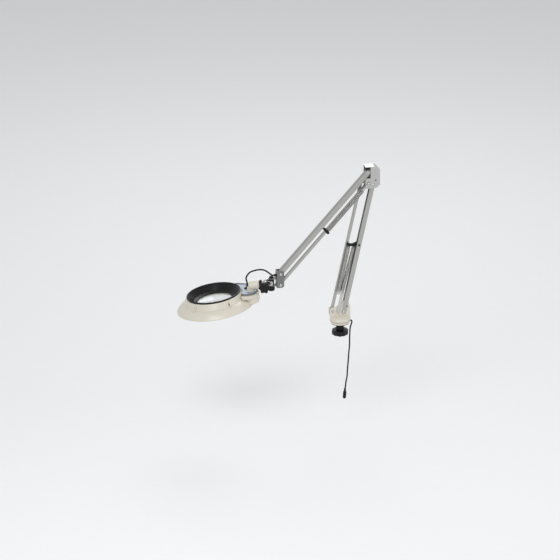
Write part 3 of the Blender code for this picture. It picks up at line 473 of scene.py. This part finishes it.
def make_foot():
    pad = Piece("foot_cushion")
    pad.turned([(27.0, 1.5), (27.4, 0.8), (27.0, 0.0), (15.0, 0.0), (15.0, 1.5)], WORLD, steps=96, loop=True)
    pad.finish(BLACK, "foot", slot="black_plastic", stands_for=("foot_pad",))
    foot = Piece("foot_flange")
    foot.turned([(8.0, 19.0), (8.0, 8.6), (26.0, 8.6, 1.0), (28.0, 6.8, 1.2), (28.0, 1.8, 0.5),
                 (5.4, 1.8), (5.4, 19.0)], WORLD, steps=96, loop=True)
    foot.finish(ENAMEL, "foot", slot="cream_enamel", stands_for=("base_foot",))
    stud = Piece("threaded_stud")
    crest = [(0.0, 18.6), (5.0, 18.6)]
    z = 2.0
    while z > -42.0:
        crest += [(5.0, z - 0.35, 0.0), (4.35, z - 0.75, 0.0), (5.0, z - 1.15, 0.0)]
        z -= 1.5
    crest += [(4.2, -44.0), (0.0, -44.0)]
    stud.turned(crest, WORLD, steps=48, soften=0.0)
    stud.finish(STEEL, "foot", slot="steel", stands_for=("mount_stud",))
    washer = Piece("grip_washer")
    washer.turned([(12.0, -2.0), (13.5, -3.2, 0.8), (13.5, -6.2, 0.6), (11.0, -7.7, 0.5),
                   (5.4, -7.7), (5.4, -2.0)], WORLD, steps=72, loop=True)
    washer.finish(BLACK, "clamp_washer", slot="black_plastic", stands_for=("clamp_washer",))
    nut = Piece("clamp_handwheel")
    nut.turned([(5.4, -8.0), (10.9, -8.0), (11.5, -8.8, 0.4), (11.5, -21.2), (5.4, -21.2)],
               WORLD, steps=64, loop=True)
    scallop = polar(lambda a: 24.4 - 0.7 * (1 - math.cos(10 * a)), 160)
    nut.flat(scallop, -35.0, -21.0, WORLD)
    nut.turned([(0.0, -35.0), (9.5, -35.0), (9.5, -35.6), (0.0, -35.6)], WORLD, steps=48)
    nut.finish(BLACK, "hand_nut", bevel=1.5, slot="black_plastic", stands_for=("hand_nut",))
    gland = Piece("mains_gland")
    gland.turned([(0.0, 31.5), (2.8, 31.5, 0.3), (3.2, 30.6), (3.2, 29.6), (3.9, 29.5),
                  (3.9, 28.0), (0.0, 28.0)],
                 along_x(Matrix.Translation((0.0, 1.5, 5.2))), steps=40)
    gland.finish(BLACK, "foot", slot="black_plastic", stands_for=("cord_gland",))


def make_swivel():
    housing = Piece("swivel_cover")
    housing.turned([(0.0, 24.0), (10.0, 24.0, 6.0), (19.0, 22.8, 6.0), (26.0, 19.5, 5.0),
                    (30.0, 15.0, 4.0), (31.0, 12.0, 1.5), (31.0, 10.0, 0.6), (30.2, 9.0, 0.3),
                    (8.4, 9.0), (8.4, 18.0), (0.0, 18.0)], WORLD, steps=112)
    tongue = [(30.0, 12.5), (30.0, 50.0, 8.0), (25.0, 65.0, 6.0), (17.0, 70.0, 4.0), (8.0, 67.0, 6.0),
              (-2.0, 55.0, 6.0), (-12.0, 51.0, 3.0)]
    housing.flat(rounded([*tongue, (-12.0, 12.5)]), -6.7, 6.7, FRONT)
    cheek = rounded([(-11.9, 12.5), (-11.9, 51.0, 0.5), (-30.5, 50.5, 9.0), (-30.5, 12.5)])
    housing.flat(cheek, -1.2, 6.7, FRONT)
    ear = rounded([(-16.0, 14.0), (-16.0, 50.0, 7.5), (-32.0, 50.0, 7.5), (-32.0, 30.0, 6.0), (-26.5, 14.0)])
    housing.flat(ear, -12.0, -8.8, FRONT)
    housing.finish(ENAMEL, "swivel", bevel=0.9, slot="cream_enamel", stands_for=("swivel_housing",))
    socket_bolt("foot_pivot_screw", facing_front(MAIN_FOOT), 8.9, -8.9, "swivel", "lower_pivot_bolt")
    socket_bolt("foot_rod_screw", facing_front(ROD_FOOT), 7.05, -12.35, "swivel", "rod_pivot_bolt")
    stop = Piece("lean_stop")
    stop.turned([(0.0, 9.6), (1.9, 9.6), (1.9, -9.6), (0.0, -9.6)],
                facing_front(Vector((19.5, 0.0, 54.0))), steps=24)
    stop.finish(BLACK, "swivel", slot="black_plastic")
    seam = Piece("swivel_seam")
    seam.turned([(31.25, 11.4), (31.25, 10.7), (30.6, 10.7), (30.6, 11.4)],
                WORLD, steps=112, loop=True, soften=0.1)
    seam.finish(RIM, "swivel", slot="rim_grey")


# Arms --------------------------------------------------------------------------------

def channel(name, place, length, middle, web_from, web_to, body, node):
    """Two flanges with round ends and the web that joins them along one edge."""
    half, wall = 6.75, 1.5
    piece = Piece(name)
    outline = bar(0.0, length, half)
    piece.flat(outline, middle + 7.0, middle + 8.5, place)
    piece.flat(outline, middle - 8.5, middle - 7.0, place)
    piece.box((web_from, -half, middle - 8.5 + 0.02), (web_to, -half + wall, middle + 8.5 - 0.02), place)
    piece.finish(SATIN, body, bevel=0.35, slot="satin_metal", stands_for=(node,))


def coil(name, place, start, end, node, coil_r=4.8, wire_r=0.9, pitch=2.05):
    """A close-wound spring with a hook at each end, between two points of its frame."""
    start, end = Vector(start), Vector(end)
    axis = (end - start).normalized()
    length = (end - start).length
    side = axis.cross(Vector((0.0, 0.0, 1.0))).normalized()
    up = side.cross(axis)
    hook, hook_steps, per_turn = 3.0, 8, 14
    wound = length - 2 * hook
    steps = round(wound / pitch) * per_turn
    path = []
    for i in range(hook_steps + 1):
        t = i / hook_steps
        angle = math.pi * (1.0 - t)
        path.append(start + axis * (hook - hook * math.sin(angle) * 0.9)
                    + side * (hook * math.cos(angle)) * (1 - t) + side * coil_r * t)
    for i in range(steps + 1):
        angle = 2 * math.pi * i / per_turn
        path.append(start + axis * (hook + wound * i / steps)
                    + (side * math.cos(angle) + up * math.sin(angle)) * coil_r)
    for i in range(hook_steps + 1):
        t = i / hook_steps
        angle = math.pi * t
        path.append(end - axis * (hook - hook * math.sin(angle) * 0.9)
                    + side * coil_r * (1 - t) + side * (hook * math.cos(angle)) * t)
    piece = Piece(name).tube([place @ p for p in path], wire_r, sides=8)
    spring = piece.finish(SPRING, slot="steel", sharp=60.0, stands_for=(node,))
    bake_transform(spring)


def make_lower_arm():
    channel("lower_channel", LOW, LOWER_LENGTH, 0.0, 62.0, LOWER_LENGTH - 1.0, "lower_arm", "lower_main")
    rod = Piece("lower_link_bar").flat(bar(0.0, LOWER_LENGTH, 4.2), -8.5, -1.5, LOW_ROD)
    rod.finish(SATIN, "lower_rod", bevel=0.7, slot="satin_metal", stands_for=("lower_rod",))
    link = Piece("spring_tie").flat(rounded([
        (-6.0, 13.6, 4.5), (53.0, 13.6, 2.0), (53.0, 10.5, 1.5), (62.0, 10.5, 2.0),
        (62.0, 35.0, 2.0), (53.0, 35.0, 1.5), (53.0, 22.6, 3.0), (-6.0, 22.6, 4.5)]), 7.0, 9.2, LOW)
    link.finish(STEEL, "spring_link", bevel=0.4, slot="steel", stands_for=("spring_link",))
    spots = (("tie_screw_low", (-1.4, 18.1)), ("tie_screw_front", (58.0, 29.0)), ("tie_screw_back", (58.0, 17.5)))
    for name, spot in spots:
        screw = Piece(name)
        screw.turned([(0.0, 10.6), (2.0, 10.6, 0.5), (2.9, 9.3, 0.2), (2.9, 9.0), (0.0, 9.0)],
                     shifted(LOW, x=spot[0], y=spot[1]), steps=28)
        screw.finish(STEEL, "spring_link", slot="steel")
    yoke = Piece("spring_anchor").flat(rounded([
        (208.5, -4.7, 1.5), (221.0, -4.7, 1.5), (221.0, 10.0, 3.0), (214.0, 21.0, 3.0),
        (214.0, 36.0, 3.0), (206.5, 36.0, 2.0), (206.5, 9.0, 2.0), (208.5, 5.0, 1.0)]), -1.0, 6.0, LOW)
    yoke.finish(BLACK, "lower_arm", bevel=0.8, slot="black_plastic", stands_for=("spring_yoke",))
    pin = Piece("anchor_pin")
    pin.turned([(0.0, 10.6), (2.2, 10.6, 0.4), (3.3, 9.4, 0.3), (3.3, 8.7), (1.6, 8.7), (1.6, -8.7),
                (3.0, -8.7), (3.0, -10.4, 0.4), (0.0, -10.4)], shifted(LOW, x=214.0), steps=32)
    pin.finish(BLACK, "lower_arm", slot="black_plastic", stands_for=("yoke_pin",))
    for name, node, low, high in (("balance_spring_1", "lower_spring_front", (61.0, 29.0), (207.5, 30.0)),
                                  ("balance_spring_2", "lower_spring_back", (61.0, 19.0), (207.5, 14.5))):
        coil(name, LOW, (*low, 4.6), (*high, 4.6), node)


def make_elbow():
    piece = Piece("elbow_casting")
    plate = rounded([(73.0, 427.0, 5.0), (107.0, 427.0, 8.0), (117.0, 439.0, 6.0), (117.0, 495.0, 22.0),
                     (73.0, 495.0, 4.0)])
    notched = rounded([(73.0, 427.0, 5.0), (107.0, 427.0, 8.0), (117.0, 439.0, 6.0), (117.0, 495.0, 22.0),
                       (88.4, 495.0), (88.4, 459.0, 3.0), (73.0, 459.0, 1.0)])
    piece.flat(notched, 16.4, 18.6, FRONT)
    piece.flat(plate, -11.1, -8.9, FRONT)
    outer = rounded([(116.85, 434.0), (116.85, 494.85, 21.9), (73.4, 494.85)], closed=False)
    inner = rounded([(114.8, 434.0), (114.8, 492.8, 20.0), (73.4, 492.8)], closed=False)
    piece.flat(outer + inner[::-1], -10.6, 16.9, FRONT)
    x, z = ROD_HEAD.x, ROD_HEAD.z
    piece.flat(rounded([(x - 7.5, z - 7.5, 7.5), (90.0, z - 7.5), (90.0, z + 12.0), (78.0, z + 12.0, 5.0),
                        (x - 7.5, z + 7.5, 7.0)]), -10.9, -9.1, FRONT)
    piece.finish(ELBOW, "elbow", bevel=0.6, slot="elbow_metal", stands_for=("elbow_bracket",))
    spots = (("elbow_screw_top", UPPER_TOP, 16.6, "elbow_bolt_top"),
             ("elbow_screw_rod", UPPER_LOW, 21.55, "elbow_bolt_rod"),
             ("elbow_screw_main", MAIN_HEAD, 18.95, "elbow_bolt_main"))
    for name, spot, front, node in spots:
        socket_bolt(name, facing_front(spot), front - 0.3, -11.2, "elbow", node)
    pin = Piece("elbow_rivet")
    pin.turned([(0.0, -1.6), (1.6, -1.6), (1.6, -11.2), (4.2, -11.2), (4.2, -13.0, 1.0), (0.0, -13.8)],
               facing_front(ROD_HEAD), steps=36)
    pin.finish(STEEL, "elbow", slot="steel", stands_for=("elbow_rod_pin",))
    cap = Piece("elbow_plug").box((73.4, 486.6, -8.55), (80.5, 492.4, 16.05), FRONT)
    cap.finish(BLACK, "elbow", bevel=0.8, slot="black_plastic", stands_for=("elbow_cap",))
    screw = Piece("elbow_cover_screw")
    screw.turned([(0.0, 19.4), (1.6, 19.4, 0.4), (2.2, 18.9, 0.2), (2.2, 18.4), (0.0, 18.4)],
                 facing_front(Vector((104.0, 0.0, 452.0))), steps=28)
    screw.finish(BLACK, "elbow", slot="black_plastic")


def make_upper_arm():
    channel("upper_channel", UP, UPPER_LENGTH, -UPPER_Y, 2.0, UPPER_LENGTH - 2.0, "upper_arm", "upper_main")
    rod = Piece("upper_link_bar").flat(bar(0.0, UPPER_LENGTH, 4.0), 2.5, 12.5, UP_ROD)
    rod.finish(SATIN, "upper_rod", bevel=0.7, slot="satin_metal", stands_for=("upper_rod",))
    hook = Piece("spring_hook").flat(bar(0.0, 24.5, 3.4), 18.9, 20.6, UP_ROD)
    hook.finish(STEEL, "upper_rod", bevel=0.4, slot="steel")
    coil("balance_spring_3", UP_ROD, (24.5, 0.0, 18.7), (187.0, 0.0, 18.7),
         "upper_spring")
    collar = Piece("spring_slider")
    front = rounded([(186.0, -6.0, 1.5), (194.0, -6.0, 1.5), (194.0, 6.5, 2.5), (186.0, 6.5, 2.5)])
    collar.flat(front, 12.9, 23.8, UP_ROD)
    upper_jaw = rounded([(186.0, -6.0, 1.0), (194.0, -6.0, 1.0), (194.0, -4.4), (186.0, -4.4)])
    collar.flat(upper_jaw, 2.0, 12.9, UP_ROD)
    lower_jaw = rounded([(186.0, 4.4), (194.0, 4.4), (194.0, 6.5, 1.0), (186.0, 6.5, 1.0)])
    collar.flat(lower_jaw, 2.0, 12.9, UP_ROD)
    collar.box((187.0, -19.6, 3.0), (193.0, -5.0, 12.0), UP_ROD)
    collar.finish(BLACK, "spring_collar", bevel=0.5, slot="black_plastic", stands_for=("spring_collar",))


# End bracket and wrist -----------------------------------------------------------------

def make_end_bracket():
    piece = Piece("end_clevis")
    plate = rounded([(-194.0, 133.0, 1.0), (-172.0, 133.0, 8.0), (-172.0, 186.0, 8.0), (-194.0, 186.0, 1.0)])
    piece.flat(plate, 16.4, 18.6, FRONT)
    piece.flat(plate, -3.6, -1.4, FRONT)
    piece.box((-194.0, 133.4, -3.5), (-191.5, 185.6, 18.5), FRONT)
    lug_r = 8.5
    lug = rounded([(-217.5, UPPER_Y - lug_r, lug_r), (-192.6, UPPER_Y - lug_r), (-192.6, UPPER_Y + lug_r),
                   (-217.5, UPPER_Y + lug_r, lug_r)])
    piece.flat(lug, 160.5, 163.0, WORLD)
    piece.flat(lug, 138.5, 141.5, WORLD)
    piece.finish(DARK, "end_bracket", bevel=0.5, slot="dark_metal", stands_for=("end_bracket",))
    for end, spot in (("top", UPPER_END), ("low", UPPER_END_LOW)):
        socket_bolt("clevis_screw_" + end, facing_front(spot), 18.65, -3.7, "end_bracket", "bracket_bolt_" + end)
    gland = Piece("clevis_gland")
    gland.turned([(0.0, -194.0), (4.2, -194.0), (4.2, -197.0, 0.5), (3.5, -197.6), (3.1, -202.0, 0.6),
                  (0.0, -202.0)],
                 along_x(Matrix.Translation((0.0, UPPER_Y, 171.0))), steps=40)
    gland.finish(BLACK, "end_bracket", slot="black_plastic", stands_for=("bracket_gland",))


def make_wrist():
    barrel = Piece("wrist_barrel")
    barrel.turned([(0.0, 168.0), (5.2, 168.0, 0.8), (6.0, 167.0, 0.6), (6.0, 163.2), (3.0, 163.2), (3.0, 160.0),
                   (8.5, 160.0, 0.6), (8.5, 142.0, 0.6), (3.0, 142.0), (3.0, 137.4), (0.0, 137.4)], WRIST, steps=56)
    barrel.finish(BLACK, "wrist", slot="black_plastic", stands_for=("swivel_barrel",))
    knob = Piece("wrist_knob")
    knob.flat(polar(lambda a: 10.4 + 0.35 * math.cos(18 * a), 144), 125.6, 136.4, WRIST)
    knob.turned([(0.0, 137.3), (8.6, 137.3, 0.6), (9.4, 136.0), (0.0, 136.0)], WRIST, steps=48)
    knob.turned([(0.0, 126.0), (9.4, 126.0), (8.4, 124.0, 0.8), (0.0, 124.0)], WRIST, steps=48)
    knob.finish(BLACK, "swivel_knob", bevel=0.3, slot="black_plastic", stands_for=("swivel_knob",))
    tilt_front = along_front(TILT)
    for end, side, turn in (("front", 10.2, 0.0), ("back", -10.2, 180.0)):
        cheek = Piece("wrist_cheek_" + end).flat(rounded([
            (-7.5, -7.5, 7.2), (5.0, -7.5, 4.0), (10.0, -0.6, 2.0), (23.6, -0.6, 5.0),
            (23.6, 13.5, 5.0), (11.6, 13.5, 4.0), (-7.5, 7.5, 7.0)]), side - 1.0, side + 1.0, tilt_front)
        outwards = shifted(tilt_front, x=17.6, y=7.9) @ Matrix.Rotation(math.radians(turn), 4, "X")
        foot = abs(side)
        cheek.turned([(0.0, foot + 1.9), (1.8, foot + 1.9, 0.4), (2.6, foot, 0.1), (0.0, foot)], outwards, steps=28)
        cheek.finish(STEEL, "wrist", bevel=0.4, slot="steel", stands_for=("fork_plate_" + end,))
    shaft = Piece("tilt_shaft")
    shaft.turned([(0.0, 23.7), (5.5, 23.7, 0.3), (5.5, 11.3, 0.5), (3.0, 11.3), (3.0, -11.3), (6.0, -11.3),
                  (6.0, -12.3), (0.0, -12.3)], tilt_front, steps=40)
    shaft.flat(hexagon(5.0), -15.5, -12.2, tilt_front)
    shaft.finish(STEEL, "wrist", bevel=0.3, slot="steel", stands_for=("tilt_bolt",))
    star = Piece("star_knob")
    star.flat(polar(lambda a: 15.2 + 1.8 * math.cos(6 * a), 144), 24.4, 38.0, tilt_front)
    star.turned([(0.0, 24.2), (7.5, 24.2), (7.5, 24.9), (0.0, 24.9)], tilt_front, steps=40)
    star.finish(BLACK, "tilt_knob", bevel=2.2, slot="black_plastic", stands_for=("tilt_knob",))
    dimple = Piece("star_knob_cap")
    dimple.turned([(0.0, 38.25), (5.6, 38.25, 0.2), (6.0, 37.9), (0.0, 37.9)], tilt_front, steps=40)
    dimple.finish(GLOSSY, "tilt_knob", slot="black_plastic")
    block = Piece("tilt_eye")
    block.turned([(3.4, 8.8), (8.5, 8.8, 0.6), (8.5, -8.8, 0.6), (3.4, -8.8)], tilt_front, steps=56, loop=True)
    block.turned([(0.0, NECK_REACH - 4.0), (6.0, NECK_REACH - 4.0), (6.0, 141.2), (0.0, 141.2)], NECK, steps=40)
    block.finish(SATIN, "tilt", slot="satin_metal", stands_for=("tilt_block",))
    ring = Piece("neck_ring")
    ring.turned([(12.6, 147.6, 0.5), (14.0, 146.2, 0.6), (14.0, 142.0, 0.6), (12.6, 140.6, 0.5),
                 (6.4, 140.6), (6.4, 147.6)], NECK, steps=72, loop=True)
    for i in range(24):
        ribs = NECK @ Matrix.Rotation(2 * math.pi * i / 24, 4, "Z")
        ring.box((13.6, -0.6, 142.0), (14.25, 0.6, 146.2), ribs)
    ring.finish(BLACK, "roll_collar", slot="black_plastic", stands_for=("roll_collar",))


# Head --------------------------------------------------------------------------------

def arc(radius, first, last, count):
    angles = [math.radians(first + (last - first) * i / count) for i in range(count + 1)]
    return [Vector((radius * math.cos(a), radius * math.sin(a))) for a in angles]


CLIP_ANGLES = (92.0, -52.0, 164.0, -125.0)
ROCKER = Vector((98.0, 28.0, 36.4))
PLATE_TOP = 34.4
PLATE_EDGE = [(86.5, -17.0, 3.0), (100.0, -25.0, 10.0), (120.0, -25.0, 12.0), (130.0, 0.0, 14.0),
              (112.0, 40.0, 24.0), (90.0, 62.0, 14.0), (58.0, 76.0, 3.0)]
DECK_EDGE = [(88.0, -38.0, 3.0), (110.0, -38.0, 10.0), (134.0, -22.0, 12.0), (135.0, 6.0, 16.0),
             (118.0, 44.0, 24.0), (94.0, 68.0, 14.0), (59.0, 83.0, 4.0)]


def edge_points(corners, inside):
    """The outer edge alone, from its -Y end to its +Y end, of an outline closed by the arc."""
    return rounded([tuple(inside[-1]), *corners, tuple(inside[0])], closed=False)[1:-1]


def grown(points, amount):
    moved = []
    for i, here in enumerate(points):
        along = (points[min(i + 1, len(points) - 1)] - points[max(i - 1, 0)]).normalized()
        moved.append(here + Vector((along.y, -along.x)) * amount)
    return moved


def make_head():
    shell = Piece("lamp_shell")
    shell.turned([(81.0, 40.0, 0.4), (88.5, 22.0, 2.5), (92.0, 21.0, 2.0), (98.0, 19.0, 8.0), (105.0, 14.0, 8.0),
                  (111.0, 7.5, 6.0), (115.0, 2.5, 1.5), (115.0, 0.0, 0.6), (112.6, 0.0, 0.4), (108.6, 6.0, 4.0),
                  (103.2, 12.0, 6.0), (96.8, 16.6, 5.0), (91.5, 18.6, 2.0), (86.4, 19.8, 1.5), (78.7, 40.0, 0.4)],
                 HEAD, steps=160, loop=True)
    shell.finish(ENAMEL, "head", slot="cream_enamel", stands_for=("head_shell",))
    hood = Piece("black_hood")
    hood.turned([(77.8, 45.0, 0.5), (80.6, 44.5, 0.7), (80.9, 40.15, 0.2), (77.4, 40.15, 0.3), (62.2, 21.9, 0.5),
                 (58.0, 21.9, 0.3), (50.5, 22.9, 0.3), (50.5, 24.9, 0.5), (55.6, 25.1, 0.2), (55.9, 25.9, 0.2),
                 (61.0, 26.2, 1.0), (62.6, 27.4, 0.5)], HEAD, steps=160, loop=True)
    hood.finish(GLOSSY, "head", slot="black_plastic", stands_for=("hood_rim",))
    rings = 14
    top = [(61.5 * i / rings, 20.9 + 4.1 * (1 - (i / rings) ** 2)) for i in range(rings + 1)]
    low = [(61.5 * i / rings, 13.5 - 4.1 * (1 - (i / rings) ** 2)) for i in range(rings, -1, -1)]
    lens = Piece("magnifier_glass").turned(top + low, HEAD, steps=128, soften=0.0)
    lens.finish(GLASS, "head", slot="lens_glass", stands_for=("lens",))
    bezel = Piece("lens_seat")
    bezel.turned([(61.6, 9.3), (61.6, 1.2, 0.4), (57.5, 1.2, 0.4), (57.5, 9.3)], HEAD, steps=128, loop=True)
    bezel.finish(ENAMEL, "head", slot="cream_enamel", stands_for=("lens_bezel",))
    retainer = Piece("lens_clamp_ring")
    retainer.turned([(64.5, 13.2), (64.5, 9.9), (57.6, 9.9, 0.4), (57.6, 12.3), (60.4, 13.2)],
                    HEAD, steps=128, loop=True)
    retainer.finish(RIM, "head", slot="rim_grey")
    board = Piece("lamp_board")
    board.turned([(98.0, 12.1), (98.0, 10.5), (67.5, 10.5), (67.5, 12.1)], HEAD, steps=96, loop=True)
    board.finish(WHITE, "head", slot="light_plastic", stands_for=("led_board",))
    cover = Piece("light_cover")
    cover.turned([(106.5, 4.4), (106.5, 2.6, 0.5), (62.0, 2.6, 0.5), (62.0, 4.4)], HEAD, steps=128, loop=True)
    cover.finish(FROST, "head", slot="light_plastic", stands_for=("diffuser",))
    chips = Piece("lamp_chips")
    for radius, count in ((75.0, 42), (83.0, 48), (91.0, 54)):
        for i in range(count):
            spot = HEAD @ Matrix.Rotation(2 * math.pi * i / count, 4, "Z")
            chips.box((radius - 1.7, -1.4, 9.6), (radius + 1.7, 1.4, 10.6), spot)
    chips.finish(LED, "head", slot="light_plastic")
    for number, angle in enumerate(CLIP_ANGLES, start=1):
        radial = along_front(HEAD @ Matrix.Rotation(math.radians(angle), 4, "Z"))
        clip = Piece("hood_catch_%d" % number)
        clip.flat(rounded([(88.6, 22.2), (95.4, 20.4, 0.5), (84.8, 37.0, 1.2), (82.6, 37.0)]), -2.0, 2.0, radial)
        clip.finish(ENAMEL, "head", bevel=0.5, slot="cream_enamel", stands_for=("hood_clip_%d" % number,))
        # Painted shade: a dark grey patch beside each hood clip stands in for the shadow there.
        clip_shade = Piece("hood_clip_shade_%d" % number)
        clip_shade.flat(rounded([(86.9, 24.6), (88.1, 24.8, 0.3), (85.8, 31.4, 0.3), (84.2, 31.0)]), 2.1, 5.0, radial)
        clip_shade.finish(RIM, "head", bevel=0.2, slot="rim_grey")
    deck = Piece("neck_deck")
    inside = arc(89.6, 53.0, -20.0, 40)
    deck.flat(inside + edge_points(DECK_EDGE, inside), 22.6, 32.0, HEAD)
    deck.flat(rounded([(104.0, -33.0, 3.0), (119.0, -31.0, 8.0), (132.0, -20.0, 9.0), (132.0, 20.0, 9.0),
                       (119.0, 31.0, 8.0), (104.0, 33.0, 3.0)]), 4.4, 24.0, HEAD)
    deck.swept([(97.5, 22.9), (117.2, 22.9), (117.2, 4.6), (115.4, 3.6), (111.5, 8.4), (105.4, 14.9),
                (98.4, 19.8)], HEAD, -17.0, 35.0)
    deck.finish(ENAMEL, "head", bevel=1.3, slot="cream_enamel", stands_for=("rear_deck",))
    inside = arc(84.9, 50.0, -9.0, 40)
    edge = edge_points(PLATE_EDGE, inside)
    panel = Piece("control_panel").flat(inside + edge, 32.2, PLATE_TOP, HEAD)
    panel.finish(PLATE, "head", bevel=0.3, slot="plate_blue", stands_for=("switch_plate",))
    border = Piece("panel_border").flat(grown(edge, 0.1) + grown(edge, 2.6)[::-1], 32.2, 36.5, HEAD)
    border.finish(RIM, "head", bevel=0.6, slot="rim_grey", stands_for=("plate_rim",))
    neck = Piece("neck_tube")
    neck.turned([(0.0, 140.2), (11.6, 140.2, 0.3), (12.5, 139.4, 0.4), (12.5, 112.0, 4.0),
                 (10.5, 107.5, 3.0), (0.0, 106.0)], NECK, steps=72)
    post = rounded([(102.0, -9.5, 4.0), (121.5, -9.5, 4.0), (121.5, 9.5, 4.0), (102.0, 9.5, 4.0)])
    neck.flat(post, 34.5, 48.0, HEAD)
    neck.finish(ENAMEL, "head", bevel=0.9, slot="cream_enamel", stands_for=("neck",))
    gland = Piece("head_gland_sleeve")
    gland.turned([(0.0, 37.0), (3.4, 37.0, 0.4), (4.2, 36.0, 0.4), (4.2, 34.2), (0.0, 34.2)],
                 shifted(HEAD, x=97.0, y=46.0), steps=40)
    gland.finish(BLACK, "head", slot="black_plastic", stands_for=("head_gland",))
    frame_ring = Piece("switch_frame")
    switch = shifted(HEAD, x=ROCKER.x, y=ROCKER.y)
    sides = (((-8.4, -5.9), (8.4, -4.4)), ((-8.4, 4.4), (8.4, 5.9)),
             ((-8.4, -4.5), (-6.9, 4.5)), ((6.9, -4.5), (8.4, 4.5)))
    for low, high in sides:
        frame_ring.box((*low, PLATE_TOP), (*high, 36.6), switch)
    frame_ring.finish(BLACK, "head", bevel=0.3, slot="black_plastic")
    rocker = Piece("switch_rocker")
    outline = rounded([(-6.5, -1.0, 0.4), (6.5, -1.0, 0.4), (6.5, 2.0, 0.5), (0.0, 1.3, 8.0), (-6.5, 2.0, 0.5)])
    rocker.flat(outline, -4.0, 4.0, along_front(shifted(switch, z=ROCKER.z)))
    rocker.finish(GLOSSY, "rocker", bevel=0.3, slot="black_plastic", stands_for=("rocker_switch",))


# Studio ------------------------------------------------------------------------------

def area_light(name, spot, size, power):
    data = bpy.data.lights.new(name, "AREA")
    data.size = size
    data.energy = power
    light = bpy.data.objects.new(name, data)
    bpy.context.scene.collection.objects.link(light)
    light.location = spot
    light.rotation_euler = (Vector((-0.15, 0.0, 0.15)) - Vector(spot)).to_track_quat("-Z", "Y").to_euler()


def make_studio():
    data = bpy.data.meshes.new("floor")
    shape = bmesh.new()
    bmesh.ops.create_grid(shape, x_segments=1, y_segments=1, size=6.0)
    shape.to_mesh(data)
    shape.free()
    floor = bpy.data.objects.new("floor", data)
    bpy.context.scene.collection.objects.link(floor)
    floor.location = (0.0, 0.0, FLOOR_HEIGHT)
    data.materials.append(surface("pale_floor", (0.93, 0.93, 0.93), 0.6, grain=40.0, mottle=0.01))
    world = bpy.data.worlds.new("studio")
    world.use_nodes = True
    sky = world.node_tree.nodes["Background"]
    sky.inputs["Color"].default_value = (0.97, 0.98, 1.0, 1.0)
    sky.inputs["Strength"].default_value = 0.58
    bpy.context.scene.world = world
    area_light("key", (-1.4, -1.8, 2.4), 1.6, 36.0)
    area_light("fill", (1.9, -1.4, 1.2), 1.8, 11.0)
    area_light("back", (0.4, 2.0, 1.8), 1.4, 14.0)
    bpy.context.scene.view_settings.view_transform = "Standard"


make_camera()
make_power_cord()
make_head_cable()
make_foot()
make_swivel()
make_lower_arm()
make_elbow()
make_upper_arm()
make_end_bracket()
make_wrist()
make_head()
make_studio()
